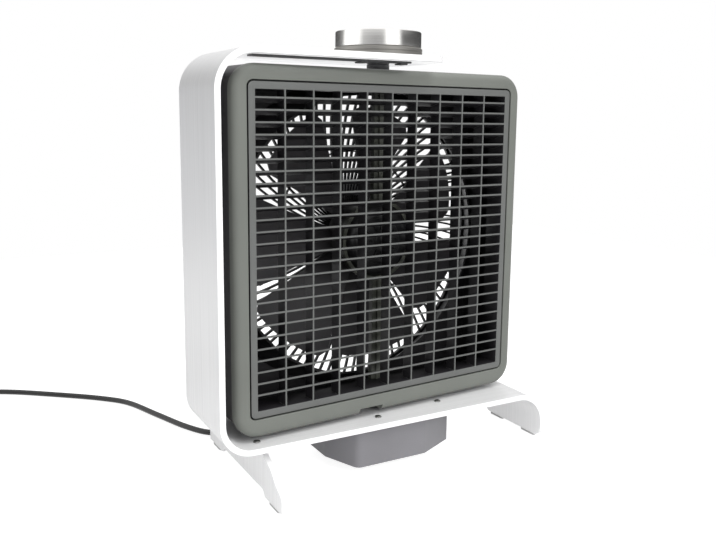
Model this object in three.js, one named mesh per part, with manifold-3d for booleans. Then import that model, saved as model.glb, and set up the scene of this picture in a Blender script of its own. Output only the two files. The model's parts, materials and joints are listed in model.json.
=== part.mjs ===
// Square box fan that swivels in a stand bent from one aluminium plate.
// Units are millimetres, +Z is up and the fan blows towards -Y.
// Sizes are worked out about the vertical pivot line, with z = 0 at the middle of
// the fan; the outer group then puts the origin on the floor under the stand.
import * as THREE from 'three';
import { mergeVertices } from 'three/addons/utils/BufferGeometryUtils.js';
import Module from 'manifold-3d';

const wasm = await Module();
wasm.setup();

// ---------------------------------------------------------------- sizes
const gap = 0.3; // clearance between two seated pieces
const embed = 0.5; // how far fused shapes run into each other
const wideSteps = 40; // sides of a large round piece
const roundSteps = 28;
const smallSteps = 16;
const screwSteps = 8;

// fan box
const restTurn = 4.07; // degrees the box is turned in the stand
const boxHalfWidth = 180;
const boxHalfHeight = 181;
const boxFront = -29;
const boxRear = 60;
const boxCornerRadius = 25;
const boxEdgeRound = 10;
const boxWall = 3;
const bezelDepth = 12;
const seamInsetX = 15; // box side to the middle of the dark seam round the grille
const seamInsetZ = 16;
const seamWidth = 1.6;
const seamCornerRadius = 6;
const notchLeft = -26;
const notchRight = -3;
const notchHeight = 5;
const shellScrewInsetX = 18;
const shellScrewInsetZ = 9;
const shellPostRadius = 5;

// stand: one plate bent into a C, with its right end bent down as a foot
const plateThick = 6;
const plateDepth = 108;
const panelClearance = 13; // box side to the upright panel
const topClearance = 8; // box top to the plate over it
const baseClearance = 8.5; // box underside to the base plate
const footClearance = 21; // box side to the right foot
const topEnd = 55; // pivot line to the free end of the top plate
const topEndRadius = 20;
const bendRadius = 40;
const footBendRadius = 45;
const footDrop = 57.2; // upper face of the base plate to the lower edge of the feet
const footCornerRadius = 12;
const padHeight = 2;
const padLength = 24;

// separate left foot: a plate with two toes and a low arch between them
const leftFootInset = 49; // outer face of the panel to the outer face of this foot
const toeFront = -86;
const toeRear = 126;
const toeHeight = 16;
const toeLength = 43;
const archHeight = 6;
const shoulderFront = -25;
const shoulderRear = 65;
const flangeWidth = 15;
const flangeThick = 4;
const flangeEndY = 45;
const flangeScrewInset = 5.4;
const flangeScrewEnd = 8;

// front grille
const grilleBorder = 7.2;
const grilleDepth = 16;
const grilleRecess = 0.5;
const grilleFlange = 3.2;
const grilleLap = 4; // how far the flange reaches behind the bezel
const columnCount = 10;
const columnBar = 2;
const slatPitch = 11.616;
const slatThick = 2.2;
const slatDepth = 14.5;
const slatDrop = 4.4;
const slatTopMargin = 15.7; // seam to the first slat
const slatBottomMargin = 23.8;

// air duct, rear grille and rotor
const ductInset = 24; // box side to the front lip of the duct
const outletInset = 8; // box side to the wider rear end of the duct
const ductWall = 2.5;
const ductFront = 27;
const rearGrilleDepth = 5;
const rearRibCount = 36;
const rearRibThick = 1.8;
const rearRibSweep = -38; // degrees a rib leans round from boss to rim
const rearRimWidth = 3;
const rearBossRadius = 24;
const bladeCount = 7;
const bladeTipClearance = 13;
const bladeThick = 2;
const bladeSpan = 41; // degrees one blade covers at its tip
const bladeRootSpan = 35;
const bladeFront = 27;
const bladeRear = 53;
const bladeCamber = 2;
const hubRadius = 33;
const hubFront = 26.6;
const hubRear = 49;
const nutThick = 4;
const nutRadius = 8;
const firstGap = 50; // degrees, middle of the first gap between blades

// fan motor on its upright strut
const motorRadius = 40;
const motorFront = -9;
const motorRear = 24;
const motorEdgeRound = 7;
const strutWidth = 12;
const strutFront = -4;
const strutRear = 3;
const clampWidth = 4.5;
const shaftRadius = 4;
const shaftSocket = 8;

// pivot line
const pivotRadius = 5;
const bushRadius = 8;
const collarRadius = 12;
const bushFlange = 1.3;
const pivotBlockWidth = 72;
const pivotBlockDepth = 23;
const pivotBlockHeight = 15;
const pivotEndHeight = 2; // upper pivot above the top plate

// wire channel under the top plate
const channelInset = 22; // front edge of the plate to the middle of the channel
const channelHalf = 6;
const channelThick = 1.6;
const channelEnd = 18;
const clipPlaces = [-38, 9];
const clipHalf = 4;
const clipThick = 1.4;

// knob on the top plate
const knobRadius = 45.3;
const knobHeight = 16.5;
const knobWall = 3.5;
const knobChamfer = 1;
const knobBaseRadius = 46.5;
const knobBaseHeight = 8;
const knobBaseChamfer = 0.6;
const spindleRadius = 3;
const socketWall = 4;
const switchHalf = 13;
const switchHeight = 7.5;
const switchFloor = 2;

// oscillation drive and its housing under the base
const gearModule = 1.25;
const gearTeeth = 32;
const pinionTeeth = 12;
const gearThick = 5;
const gearDrop = 5.5; // underside of the base plate to the gear
const housingHeight = 42;
const housingWall = 2.5;
const housingLeft = -62;
const housingRight = 86;
const housingRear = 45;
const housingFront = -46;
const housingPostWall = 2.2;
const driveMotorRadius = 20;
const driveMotorHeight = 20;
const driveShaftRadius = 2.4;
const driveShaftSocket = 9;
const capacitorInset = 6;
const capacitorWidth = 32;
const capacitorDepth = 26;
const capacitorHeight = 20;
const capacitorFront = 2;

// fasteners
const screwRadius = 2;
const screwHeadRadius = 3.6;
const screwHeadHeight = 1.6;
const baseScrewLength = 12;
const shellScrewBite = 4;

// mains cord
const cordDiameter = 6.8;
const cordExitX = -30;
const cordExitDrop = 26.5; // underside of the base plate to the cord's exit
const reliefLength = 22;
const reliefRadius = 5.5;
const reliefLip = 2;
const reliefInner = 4;
const reliefSocket = 5;
const coilCentre = new THREE.Vector2(-462, 388);
const coilOuterRadius = 53;
const coilPitch = 8.4;
const coilLayerStep = 7.6;
const coilInTurns = 2.5;
const coilClimbTurns = 0.5;
const coilOutTurns = 2.25;
const coilStepsPerTurn = 24;
const plugLength = 36;
const plugWidth = 24;
const plugHeight = 17;
const plugShoulder = 14;
const plugNeck = 6;
const pinLength = 16;
const pinSocket = 6;
const pinHalfSpread = 6.35;
const pinHalfThick = 0.75;
const pinHalfWidth = 3.2;

// worked out from the sizes above
const panelFace = -(boxHalfWidth + panelClearance + plateThick); // outer face of the panel
const topUnder = boxHalfHeight + topClearance;
const topFace = topUnder + plateThick;
const baseFace = -(boxHalfHeight + baseClearance);
const baseUnder = baseFace - plateThick;
const footFace = boxHalfWidth + footClearance + plateThick; // outer face of the right foot
const footEdge = baseFace - footDrop;
const floorLevel = footEdge - gap - padHeight;
const leftFootFace = panelFace + leftFootInset;
const seamHalfX = boxHalfWidth - seamInsetX;
const seamHalfZ = boxHalfHeight - seamInsetZ;
const ductRadius = boxHalfWidth - ductInset;
const outletRadius = boxHalfWidth - outletInset;
const bladeTipRadius = ductRadius - bladeTipClearance;
const bezelRear = boxFront + bezelDepth;
const shellFront = bezelRear + gap;
const gearTop = baseUnder - gearDrop;
const gearFoot = gearTop - gearThick;
const housingBottom = baseUnder - housingHeight;
const pinionDistance = (gearModule * (gearTeeth + pinionTeeth)) / 2;
const cordRadius = cordDiameter / 2;
const cordLevel = floorLevel + cordRadius;
const cordExitZ = baseUnder - cordExitDrop;

// ---------------------------------------------------------------- materials
function material(name, color, roughness, metalness) {
  return new THREE.MeshStandardMaterial({ name, color, roughness, metalness });
}
const aluminium = material('brushed_aluminium', 0xc9cacb, 0.34, 1);
const turnedAluminium = material('turned_aluminium', 0xb9babb, 0.28, 1);
const bezelPlastic = material('bezel_plastic', 0x7f847d, 0.5, 0);
const grillePlastic = material('grille_plastic', 0x6f7270, 0.48, 0);
const darkPlastic = material('dark_plastic', 0x2b2a2d, 0.5, 0);
const housingPlastic = material('housing_plastic', 0x838388, 0.55, 0);
const blackPlastic = material('black_plastic', 0x151516, 0.4, 0);
const steel = material('steel', 0x9a9a98, 0.35, 1);
const brass = material('brass', 0xb08d4c, 0.35, 1);
const rubber = material('rubber', 0x141414, 0.8, 0);
const cordPvc = material('cord_pvc', 0x101011, 0.35, 0);
const gearNylon = material('gear_nylon', 0xd8d5c8, 0.5, 0);

// ---------------------------------------------------------------- shape helpers
const radians = THREE.MathUtils.degToRad;

/** Closed outline through corners [x, y, radius], each corner rounded by an arc. */
function outline(corners, arcSteps = 5) {
  const points = [];
  corners.forEach(([x, y, radius = 0], i) => {
    const corner = new THREE.Vector2(x, y);
    if (radius === 0) {
      points.push(corner);
      return;
    }
    const before = new THREE.Vector2(...corners.at(i - 1)).sub(corner).normalize();
    const after = new THREE.Vector2(...corners[(i + 1) % corners.length]).sub(corner).normalize();
    const half = Math.acos(THREE.MathUtils.clamp(before.dot(after), -1, 1)) / 2;
    const middle = before.clone().add(after).normalize();
    const centre = corner.clone().addScaledVector(middle, radius / Math.sin(half));
    const start = corner.clone().addScaledVector(before, radius / Math.tan(half)).sub(centre);
    const sweep = (Math.PI - 2 * half) * Math.sign(before.cross(after)) * -1;
    for (let k = 0; k <= arcSteps; k += 1) {
      points.push(start.clone().rotateAround(new THREE.Vector2(), (sweep * k) / arcSteps).add(centre));
    }
  });
  return new THREE.Shape(points);
}

function rectangle(x0, y0, x1, y1, radius = 0, arcSteps = 5) {
  return outline([[x0, y0, radius], [x1, y0, radius], [x1, y1, radius], [x0, y1, radius]], arcSteps);
}

function regularPolygon(radius, sides, turn = 0) {
  const points = [];
  for (let k = 0; k < sides; k += 1) {
    const angle = turn + (2 * Math.PI * k) / sides;
    points.push([radius * Math.cos(angle), radius * Math.sin(angle)]);
  }
  return outline(points);
}

/** Waste outside a rounded corner at the origin; the plate lies at -sx, -sy of it. */
function cornerWaste(radius, sx, sy, steps = 5) {
  const margin = 1;
  const points = [[margin, margin], [-radius, margin], [-radius, 0]];
  for (let k = 1; k < steps; k += 1) {
    const angle = Math.PI / 2 - (Math.PI / 2) * (k / steps);
    points.push([radius * (Math.cos(angle) - 1), radius * (Math.sin(angle) - 1)]);
  }
  points.push([0, -radius], [margin, -radius]);
  return outline(points.map(([x, y]) => [x * sx, y * sy]));
}

function extrude(shape, length) {
  return new THREE.ExtrudeGeometry(shape, { depth: length, bevelEnabled: false });
}

/** Prism of an (x, y) outline from z0 up to z1. */
function prismZ(shape, z0, z1) {
  return extrude(shape, z1 - z0).translate(0, 0, z0);
}

/** Prism of an (x, z) outline from y0 back to y1. */
function prismY(shape, y0, y1) {
  return extrude(shape, y1 - y0).rotateX(Math.PI / 2).translate(0, y1, 0);
}

/** Prism of a (y, z) outline from x0 across to x1. */
function prismX(shape, x0, x1) {
  const axes = new THREE.Matrix4().makeBasis(
    new THREE.Vector3(0, 1, 0),
    new THREE.Vector3(0, 0, 1),
    new THREE.Vector3(1, 0, 0),
  );
  return extrude(shape, x1 - x0).applyMatrix4(axes).translate(x0, 0, 0);
}

function block(x0, x1, y0, y1, z0, z1) {
  const box = new THREE.BoxGeometry(x1 - x0, y1 - y0, z1 - z0);
  return box.translate((x0 + x1) / 2, (y0 + y1) / 2, (z0 + z1) / 2);
}

/** Solid of revolution about Z; the profile [r, z] runs up its outer side. */
function revolveZ(profile, steps = smallSteps) {
  const points = profile.map(([r, z]) => new THREE.Vector2(r, z));
  return new THREE.LatheGeometry(points, steps).rotateX(Math.PI / 2);
}

/** Solid of revolution about Y, from a profile [r, y]. */
function revolveY(profile, steps = smallSteps) {
  return revolveZ(profile, steps).rotateX(-Math.PI / 2);
}

function ringProfile(inner, outer, low, high) {
  return [[inner, low], [outer, low], [outer, high], [inner, high], [inner, low]];
}

function discProfile(radius, low, high) {
  return [[0, low], [radius, low], [radius, high], [0, high]];
}

function rodZ(radius, z0, z1, x = 0, y = 0, steps = smallSteps) {
  return revolveZ(discProfile(radius, z0, z1), steps).translate(x, y, 0);
}

function rodY(radius, y0, y1, x = 0, z = 0, steps = smallSteps) {
  return revolveY(discProfile(radius, y0, y1), steps).translate(x, 0, z);
}

// ---------------------------------------------------------------- joining and cutting
function toSolid(geometry) {
  const plain = geometry.clone();
  plain.deleteAttribute('normal');
  plain.deleteAttribute('uv');
  const merged = mergeVertices(plain, 1e-4);
  return new wasm.Manifold(new wasm.Mesh({
    numProp: 3,
    vertProperties: new Float32Array(merged.attributes.position.array),
    triVerts: new Uint32Array(merged.index.array),
  }));
}

function toGeometry(solid) {
  const mesh = solid.getMesh();
  const geometry = new THREE.BufferGeometry();
  geometry.setAttribute('position', new THREE.BufferAttribute(mesh.vertProperties, 3));
  geometry.setIndex(new THREE.BufferAttribute(mesh.triVerts, 1));
  return geometry;
}

/** Fuses the shapes in add, then removes those in cut. */
function combine(add, cut = []) {
  let solid = toSolid(add[0]);
  for (const shape of add.slice(1)) solid = solid.add(toSolid(shape));
  for (const shape of cut) solid = solid.subtract(toSolid(shape));
  return toGeometry(solid);
}

// ---------------------------------------------------------------- scene
const model = new THREE.Group();
const stand = new THREE.Group();
const fan = new THREE.Group();
fan.rotation.z = radians(restTurn);
model.add(stand, fan);

function addPart(parent, name, geometry, look) {
  const mesh = new THREE.Mesh(geometry, look);
  mesh.name = name;
  parent.add(mesh);
  return mesh;
}

// ---------------------------------------------------------------- stand
const leftScrewX = leftFootFace - flangeScrewInset;
const leftScrewY = flangeEndY - flangeScrewEnd;
const leftScrews = [[leftScrewX, -leftScrewY], [leftScrewX, leftScrewY]];
const housingScrews = [[-14.2, -35], [70.5, -24.4], [-53, 36], [76, 36]];
const baseScrews = [...leftScrews, ...housingScrews];

function makeFrame() {
  const t = plateThick;
  const half = plateDepth / 2;
  const profile = outline([
    [topEnd, topUnder],
    [panelFace + t, topUnder, bendRadius - t],
    [panelFace + t, baseFace, bendRadius - t],
    [footFace, baseFace, footBendRadius],
    [footFace, footEdge],
    [footFace - t, footEdge],
    [footFace - t, baseUnder, footBendRadius - t],
    [panelFace, baseUnder, bendRadius],
    [panelFace, topFace, bendRadius],
    [topEnd, topFace],
  ], 8);
  const cuts = [];
  for (const side of [-1, 1]) {
    const topCorner = prismZ(cornerWaste(topEndRadius, 1, side), topUnder - 1, topFace + 1);
    cuts.push(topCorner.translate(topEnd, side * half, 0));
    const footCorner = prismX(cornerWaste(footCornerRadius, side, -1), footFace - t - 1, footFace + 1);
    cuts.push(footCorner.translate(0, side * half, footEdge));
  }
  cuts.push(rodZ(bushRadius + gap, topUnder - 1, topFace + 1));
  cuts.push(rodZ(bushRadius + gap, baseUnder - 1, baseFace + 1));
  for (const [x, y] of baseScrews) {
    cuts.push(rodZ(screwRadius + gap, baseUnder - 1, baseFace + 1, x, y, screwSteps));
  }
  return combine([prismY(profile, -half, half)], cuts);
}

function makeLeftFoot() {
  const top = baseUnder - gap;
  const side = outline([
    [toeFront, footEdge, 1],
    [toeFront + toeLength, footEdge],
    [toeFront + toeLength + archHeight, footEdge + archHeight, 4],
    [toeRear - toeLength - archHeight, footEdge + archHeight, 4],
    [toeRear - toeLength, footEdge],
    [toeRear, footEdge, 1],
    [toeRear, footEdge + toeHeight, 6],
    [shoulderRear, top],
    [shoulderFront, top],
    [toeFront, footEdge + toeHeight, 6],
  ], 3);
  const flangeFoot = top - flangeThick;
  const flangeLeft = leftFootFace - flangeWidth;
  const flange = block(flangeLeft, leftFootFace + embed, -flangeEndY, flangeEndY, flangeFoot, top);
  const holes = leftScrews.map(([x, y]) => (
    rodZ(screwRadius + gap, flangeFoot - 1, top + 1, x, y, screwSteps)
  ));
  return combine([prismX(side, leftFootFace, leftFootFace + plateThick), flange], holes);
}

addPart(stand, 'c_frame', makeFrame(), aluminium);
addPart(stand, 'left_foot', makeLeftFoot(), aluminium);

const leftPadX = leftFootFace + plateThick / 2;
const rightPadX = footFace - plateThick / 2;
const rightPadY = plateDepth / 2 - footCornerRadius - padLength / 2;
const padPlaces = {
  foot_pad_left_front: [leftPadX, toeFront + toeLength / 2],
  foot_pad_left_rear: [leftPadX, toeRear - toeLength / 2],
  foot_pad_right_front: [rightPadX, -rightPadY],
  foot_pad_right_rear: [rightPadX, rightPadY],
};
for (const [name, [x, y]] of Object.entries(padPlaces)) {
  const half = plateThick / 2 - gap;
  const pad = rectangle(x - half, y - padLength / 2, x + half, y + padLength / 2, 2, 2);
  addPart(stand, name, prismZ(pad, floorLevel, floorLevel + padHeight), rubber);
}

const baseScrewNames = [
  'left_foot_screw_front', 'left_foot_screw_rear',
  'housing_screw_front_left', 'housing_screw_front_right',
  'housing_screw_rear_left', 'housing_screw_rear_right',
];
baseScrews.forEach(([x, y], i) => {
  const head = baseFace + gap;
  const profile = [
    [0, head - baseScrewLength], [screwRadius, head - baseScrewLength], [screwRadius, head],
    [screwHeadRadius, head], [screwHeadRadius * 0.7, head + screwHeadHeight], [0, head + screwHeadHeight],
  ];
  addPart(stand, baseScrewNames[i], revolveZ(profile, screwSteps).translate(x, y, 0), steel);
});

// bushes that the fan's two pivot pins turn in
function makeBush(sign, face, under) {
  const profile = [
    [pivotRadius + gap, under + sign * gap], [collarRadius, under + sign * gap],
    [collarRadius, under + sign * (gap + bushFlange)], [bushRadius, under + sign * (gap + bushFlange)],
    [bushRadius, face], [pivotRadius + gap, face], [pivotRadius + gap, under + sign * gap],
  ];
  return revolveZ(sign > 0 ? profile : profile.reverse(), smallSteps);
}
const upperBushFoot = topUnder - 2 * gap - bushFlange;
const lowerBushFoot = baseFace + 2 * gap + bushFlange;
addPart(stand, 'upper_bush', makeBush(1, topFace - gap, upperBushFoot), blackPlastic);
addPart(stand, 'lower_bush', makeBush(-1, baseUnder + gap, lowerBushFoot), blackPlastic);
const upperBushSeat = upperBushFoot + gap;
const lowerBushSeat = lowerBushFoot - gap;

// flat wire channel under the top plate, held by two clips
const channelNear = channelInset - plateDepth / 2 - channelHalf;
const channelFar = channelNear + 2 * channelHalf;
const channelTop = topUnder - gap;
const channelFoot = channelTop - channelThick;
const channelStart = panelFace + bendRadius + 2;
addPart(stand, 'wire_channel', block(
  channelStart, channelEnd, channelNear, channelFar, channelFoot, channelTop,
), blackPlastic);
clipPlaces.forEach((x, i) => {
  const clipTop = channelFoot - gap;
  const clip = block(x - clipHalf, x + clipHalf, channelNear, channelFar, clipTop - clipThick, clipTop);
  addPart(stand, `channel_clip_${i + 1}`, clip, blackPlastic);
});

// ---------------------------------------------------------------- knob
const knobBaseLow = topFace + gap;
const knobBaseTop = knobBaseLow + knobBaseHeight;
const knobLow = knobBaseTop + gap;
const knobTop = knobLow + knobHeight;
const pivotTop = topFace + pivotEndHeight;
const pivotPocket = pivotRadius + 2;
addPart(stand, 'knob_base', revolveZ([
  [pivotPocket, knobBaseLow], [knobBaseRadius, knobBaseLow],
  [knobBaseRadius, knobBaseTop - knobBaseChamfer], [knobBaseRadius - knobBaseChamfer, knobBaseTop],
  [0, knobBaseTop], [0, pivotTop + 1], [pivotPocket, pivotTop + 1], [pivotPocket, knobBaseLow],
], wideSteps), turnedAluminium);

const switchLow = knobBaseTop + gap;
const switchTop = switchLow + switchHeight;
const spindleLow = switchLow + switchFloor;
addPart(stand, 'rotary_switch', combine(
  [block(-switchHalf, switchHalf, -switchHalf, switchHalf, switchLow, switchTop)],
  [rodZ(spindleRadius + gap, spindleLow - gap, switchTop + 1)],
), blackPlastic);

const knobInside = knobTop - knobWall;
const knobBore = knobRadius - knobWall;
addPart(stand, 'control_knob', combine([
  revolveZ([
    [knobBore, knobLow], [knobRadius, knobLow], [knobRadius, knobTop - knobChamfer],
    [knobRadius - knobChamfer, knobTop], [0, knobTop], [0, knobInside], [knobBore, knobInside],
    [knobBore, knobLow],
  ], wideSteps),
  rodZ(spindleRadius + socketWall, switchTop + 1, knobInside + embed),
], [rodZ(spindleRadius + gap, knobLow, knobInside)]), turnedAluminium);
addPart(stand, 'switch_spindle', rodZ(spindleRadius, spindleLow, knobInside - gap), steel);

// ---------------------------------------------------------------- fan box
function boxOutline(inset) {
  const w = boxHalfWidth - inset;
  const h = boxHalfHeight - inset;
  return rectangle(-w, -h, w, h, boxCornerRadius - inset, 6);
}

function seamOutline(offset) {
  const w = seamHalfX + offset;
  const h = seamHalfZ + offset;
  return rectangle(-w, -h, w, h, seamCornerRadius + offset, 3);
}

const shellScrewX = boxHalfWidth - shellScrewInsetX;
const shellScrewZ = boxHalfHeight - shellScrewInsetZ;
const shellScrewPlaces = [
  [-shellScrewX, -shellScrewZ], [shellScrewX, -shellScrewZ],
  [shellScrewX, shellScrewZ], [-shellScrewX, shellScrewZ],
];
const shellScrewTip = bezelRear - shellScrewBite;

function makeBezel() {
  const round = boxEdgeRound;
  const depth = 2 * bezelDepth;
  const cushion = new THREE.ExtrudeGeometry(boxOutline(round), {
    depth, bevelEnabled: true, bevelSize: round, bevelThickness: round, bevelSegments: 3,
  });
  const body = cushion.rotateX(Math.PI / 2).translate(0, boxFront + round + depth, 0);
  const reach = 2 * Math.max(boxHalfWidth, boxHalfHeight);
  const cuts = [
    block(-reach, reach, bezelRear, bezelRear + reach, -reach, reach),
    prismY(seamOutline(seamWidth / 2), boxFront - 1, bezelRear + 1),
    block(notchLeft, notchRight, boxFront - 1, bezelRear + 1, -reach, notchHeight - boxHalfHeight),
  ];
  for (const [x, z] of shellScrewPlaces) {
    cuts.push(rodY(screwRadius + gap, shellScrewTip - gap, bezelRear + 1, x, z, screwSteps));
  }
  return combine([body], cuts);
}

const pivotBlockFoot = boxHalfHeight - boxWall - gap - pivotBlockHeight;
const pinDepth = pivotBlockFoot + 3;

function makeShell() {
  const inside = prismY(boxOutline(boxWall + gap), shellFront - 1, boxRear - boxWall);
  const outlet = rodY(outletRadius + 1, 0, boxRear + 1, 0, 0, wideSteps);
  const flareEnd = boxRear - rearGrilleDepth - gap;
  const duct = [
    [ductRadius, ductFront], [ductRadius + ductWall, ductFront],
    [outletRadius + ductWall, flareEnd], [outletRadius + ductWall, boxRear],
    [outletRadius, boxRear], [outletRadius, flareEnd], [ductRadius, ductFront],
  ];
  const add = [
    combine([prismY(boxOutline(gap), shellFront, boxRear)], [inside, outlet]),
    revolveY(duct, wideSteps),
  ];
  const cuts = [];
  for (const [x, z] of shellScrewPlaces) {
    const postFront = shellFront + grilleFlange + gap;
    const headSeat = boxRear - screwHeadHeight - gap;
    add.push(rodY(shellPostRadius, postFront, boxRear - 1, x, z, screwSteps));
    cuts.push(rodY(screwRadius + gap, shellFront, boxRear + 1, x, z, screwSteps));
    cuts.push(rodY(screwHeadRadius + gap, headSeat, boxRear + 1, x, z, screwSteps));
  }
  const halfX = pivotBlockWidth / 2;
  const halfY = pivotBlockDepth / 2;
  const blockTop = boxHalfHeight - boxWall + embed;
  add.push(block(-halfX, halfX, -halfY, halfY, pivotBlockFoot, blockTop));
  add.push(block(-halfX, halfX, -halfY, halfY, -blockTop, -pivotBlockFoot));
  const bore = pivotRadius + gap;
  cuts.push(rodZ(bore, pinDepth, boxHalfHeight + 1));
  cuts.push(rodZ(bore, -boxHalfHeight - 1, -pinDepth));
  // slot in the underside round the lower collar, open to the notch in the bezel
  const slotEnd = collarRadius + 1;
  const slotTop = notchHeight - boxHalfHeight;
  cuts.push(block(notchLeft, slotEnd, shellFront - 1, slotEnd, -boxHalfHeight - 1, slotTop));
  return combine(add, cuts);
}

function makeFrontGrille() {
  const front = boxFront + grilleRecess;
  const rear = front + grilleDepth;
  const openX = seamHalfX - seamWidth / 2 - grilleBorder;
  const openZ = seamHalfZ - seamWidth / 2 - grilleBorder;
  const flangeRear = shellFront + grilleFlange;
  const opening = prismY(rectangle(-openX, -openZ, openX, openZ), front - 1, flangeRear + 1);
  const frame = prismY(seamOutline(-seamWidth / 2), front, rear);
  const flange = prismY(seamOutline(grilleLap), shellFront, flangeRear);
  const shapes = [combine([frame, flange], [opening])];
  const barRear = rear - 1;
  const barEnd = openZ + embed;
  const columnPitch = (2 * openX) / columnCount;
  for (let i = 1; i < columnCount; i += 1) {
    const left = -openX + i * columnPitch - columnBar / 2;
    shapes.push(block(left, left + columnBar, front, barRear, -barEnd, barEnd));
  }
  const slatFront = front + gap;
  const slatRear = slatFront + slatDepth;
  const slatEnd = openX + embed;
  const slatTop = seamHalfZ - slatTopMargin;
  const slatBottom = slatBottomMargin - seamHalfZ;
  const slatCount = Math.round((slatTop - slatBottom) / slatPitch) + 1;
  for (let i = 0; i < slatCount; i += 1) {
    const high = slatTop - i * slatPitch + slatThick / 2;
    const low = high - slatThick;
    const section = outline([
      [slatFront, low], [slatRear, low - slatDrop], [slatRear, high - slatDrop], [slatFront, high],
    ]);
    shapes.push(prismX(section, -slatEnd, slatEnd));
  }
  return combine(shapes);
}

function makeRearGrille() {
  const rim = outletRadius - gap;
  const front = boxRear - rearGrilleDepth;
  const shapes = [
    revolveY(ringProfile(rim - rearRimWidth, rim, front, boxRear), wideSteps),
    rodY(rearBossRadius, front, boxRear - 1, 0, 0, smallSteps),
  ];
  const start = rearBossRadius - 1;
  const reach = rim - 1 - start;
  const bends = 3;
  for (let i = 0; i < rearRibCount; i += 1) {
    const near = [];
    const far = [];
    for (let k = 0; k <= bends; k += 1) {
      const share = k / bends;
      const radius = start + reach * share;
      const angle = radians((360 * i) / rearRibCount + rearRibSweep * share);
      const out = new THREE.Vector2(Math.cos(angle), Math.sin(angle));
      const across = new THREE.Vector2(-out.y, out.x).multiplyScalar(rearRibThick / 2);
      const middle = out.multiplyScalar(radius);
      near.push(middle.clone().sub(across).toArray());
      far.unshift(middle.clone().add(across).toArray());
    }
    shapes.push(prismY(outline([...near, ...far]), front + 0.6, boxRear - 1.4));
  }
  return combine(shapes);
}

addPart(fan, 'front_bezel', makeBezel(), bezelPlastic);
addPart(fan, 'rear_shell', makeShell(), darkPlastic);
addPart(fan, 'front_grille', makeFrontGrille(), grillePlastic);
addPart(fan, 'rear_grille', makeRearGrille(), darkPlastic);
shellScrewPlaces.forEach(([x, z], i) => {
  const head = boxRear - screwHeadHeight;
  const profile = [
    [0, shellScrewTip], [screwRadius, shellScrewTip], [screwRadius, head],
    [screwHeadRadius, head], [screwHeadRadius, boxRear], [0, boxRear],
  ];
  addPart(fan, `shell_screw_${i + 1}`, revolveY(profile, screwSteps).translate(x, 0, z), steel);
});

// ---------------------------------------------------------------- fan motor
function makeStrut() {
  const length = pivotBlockFoot - gap;
  const clampRadius = motorRadius + clampWidth;
  const ring = ringProfile(motorRadius + gap, clampRadius, strutFront, strutRear);
  const inner = clampRadius - embed;
  const half = strutWidth / 2;
  return combine([
    revolveY(ring, roundSteps),
    block(-half, half, strutFront, strutRear, inner, length),
    block(-half, half, strutFront, strutRear, -length, -inner),
  ]);
}
addPart(fan, 'motor_strut', makeStrut(), darkPlastic);

const shaftFoot = motorFront + shaftSocket;
addPart(fan, 'motor_housing', revolveY([
  [0, motorFront], [motorRadius - motorEdgeRound, motorFront], [motorRadius - 2, motorFront + 2.5],
  [motorRadius, motorFront + motorEdgeRound], [motorRadius, motorRear - 3], [motorRadius - 3, motorRear],
  [shaftRadius + gap, motorRear], [shaftRadius + gap, shaftFoot], [0, shaftFoot],
], roundSteps), darkPlastic);

// ---------------------------------------------------------------- rotor
/** One blade: a twisted, cambered sheet between its root and its tip. */
function makeBlade(middleAngle) {
  const rows = 4;
  const columns = 5;
  const front = [];
  for (let i = 0; i <= rows; i += 1) {
    const share = i / rows;
    const radius = THREE.MathUtils.lerp(hubRadius - 2, bladeTipRadius, share);
    const span = THREE.MathUtils.lerp(bladeRootSpan, bladeSpan, share);
    for (let j = 0; j <= columns; j += 1) {
      const across = j / columns;
      const angle = radians(middleAngle + (across - 0.5) * span);
      const depth = THREE.MathUtils.lerp(bladeRear - bladeThick, bladeFront, across);
      const camber = bladeCamber * Math.sin(Math.PI * across);
      front.push([radius * Math.cos(angle), depth - camber * across, radius * Math.sin(angle)]);
    }
  }
  const rear = front.map(([x, y, z]) => [x, y + bladeThick, z]);
  const index = [];
  const width = columns + 1;
  const quad = (a, b, c, d) => index.push(a, b, c, a, c, d);
  for (let i = 0; i < rows; i += 1) {
    for (let j = 0; j < columns; j += 1) {
      const a = i * width + j;
      quad(a, a + width, a + width + 1, a + 1);
      const b = a + front.length;
      quad(b, b + 1, b + width + 1, b + width);
    }
  }
  const rim = [];
  for (let j = 0; j < columns; j += 1) rim.push(j);
  for (let i = 0; i < rows; i += 1) rim.push(i * width + columns);
  for (let j = columns; j > 0; j -= 1) rim.push(rows * width + j);
  for (let i = rows; i > 0; i -= 1) rim.push(i * width);
  rim.forEach((a, k) => {
    const b = rim[(k + 1) % rim.length];
    quad(a, b, b + front.length, a + front.length);
  });
  const blade = new THREE.BufferGeometry();
  blade.setAttribute('position', new THREE.Float32BufferAttribute([...front, ...rear].flat(), 3));
  blade.setIndex(index);
  return blade;
}

function makeBlades() {
  const step = 360 / bladeCount;
  const shapes = [rodY(hubRadius, hubFront, hubRear, 0, 0, roundSteps)];
  for (let i = 0; i < bladeCount; i += 1) shapes.push(makeBlade(firstGap + (i + 0.5) * step));
  return combine(shapes, [rodY(shaftRadius + gap, hubFront - 1, hubRear + 1, 0, 0, smallSteps)]);
}
addPart(fan, 'fan_blades', makeBlades(), darkPlastic);
addPart(fan, 'rotor_shaft', rodY(shaftRadius, shaftFoot + gap, hubRear + nutThick, 0, 0, smallSteps), steel);
addPart(fan, 'blade_nut', combine(
  [prismY(regularPolygon(nutRadius, 6), hubRear + gap, hubRear + gap + nutThick)],
  [rodY(shaftRadius + gap, hubRear, hubRear + nutThick + 1, 0, 0, smallSteps)],
), steel);

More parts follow.
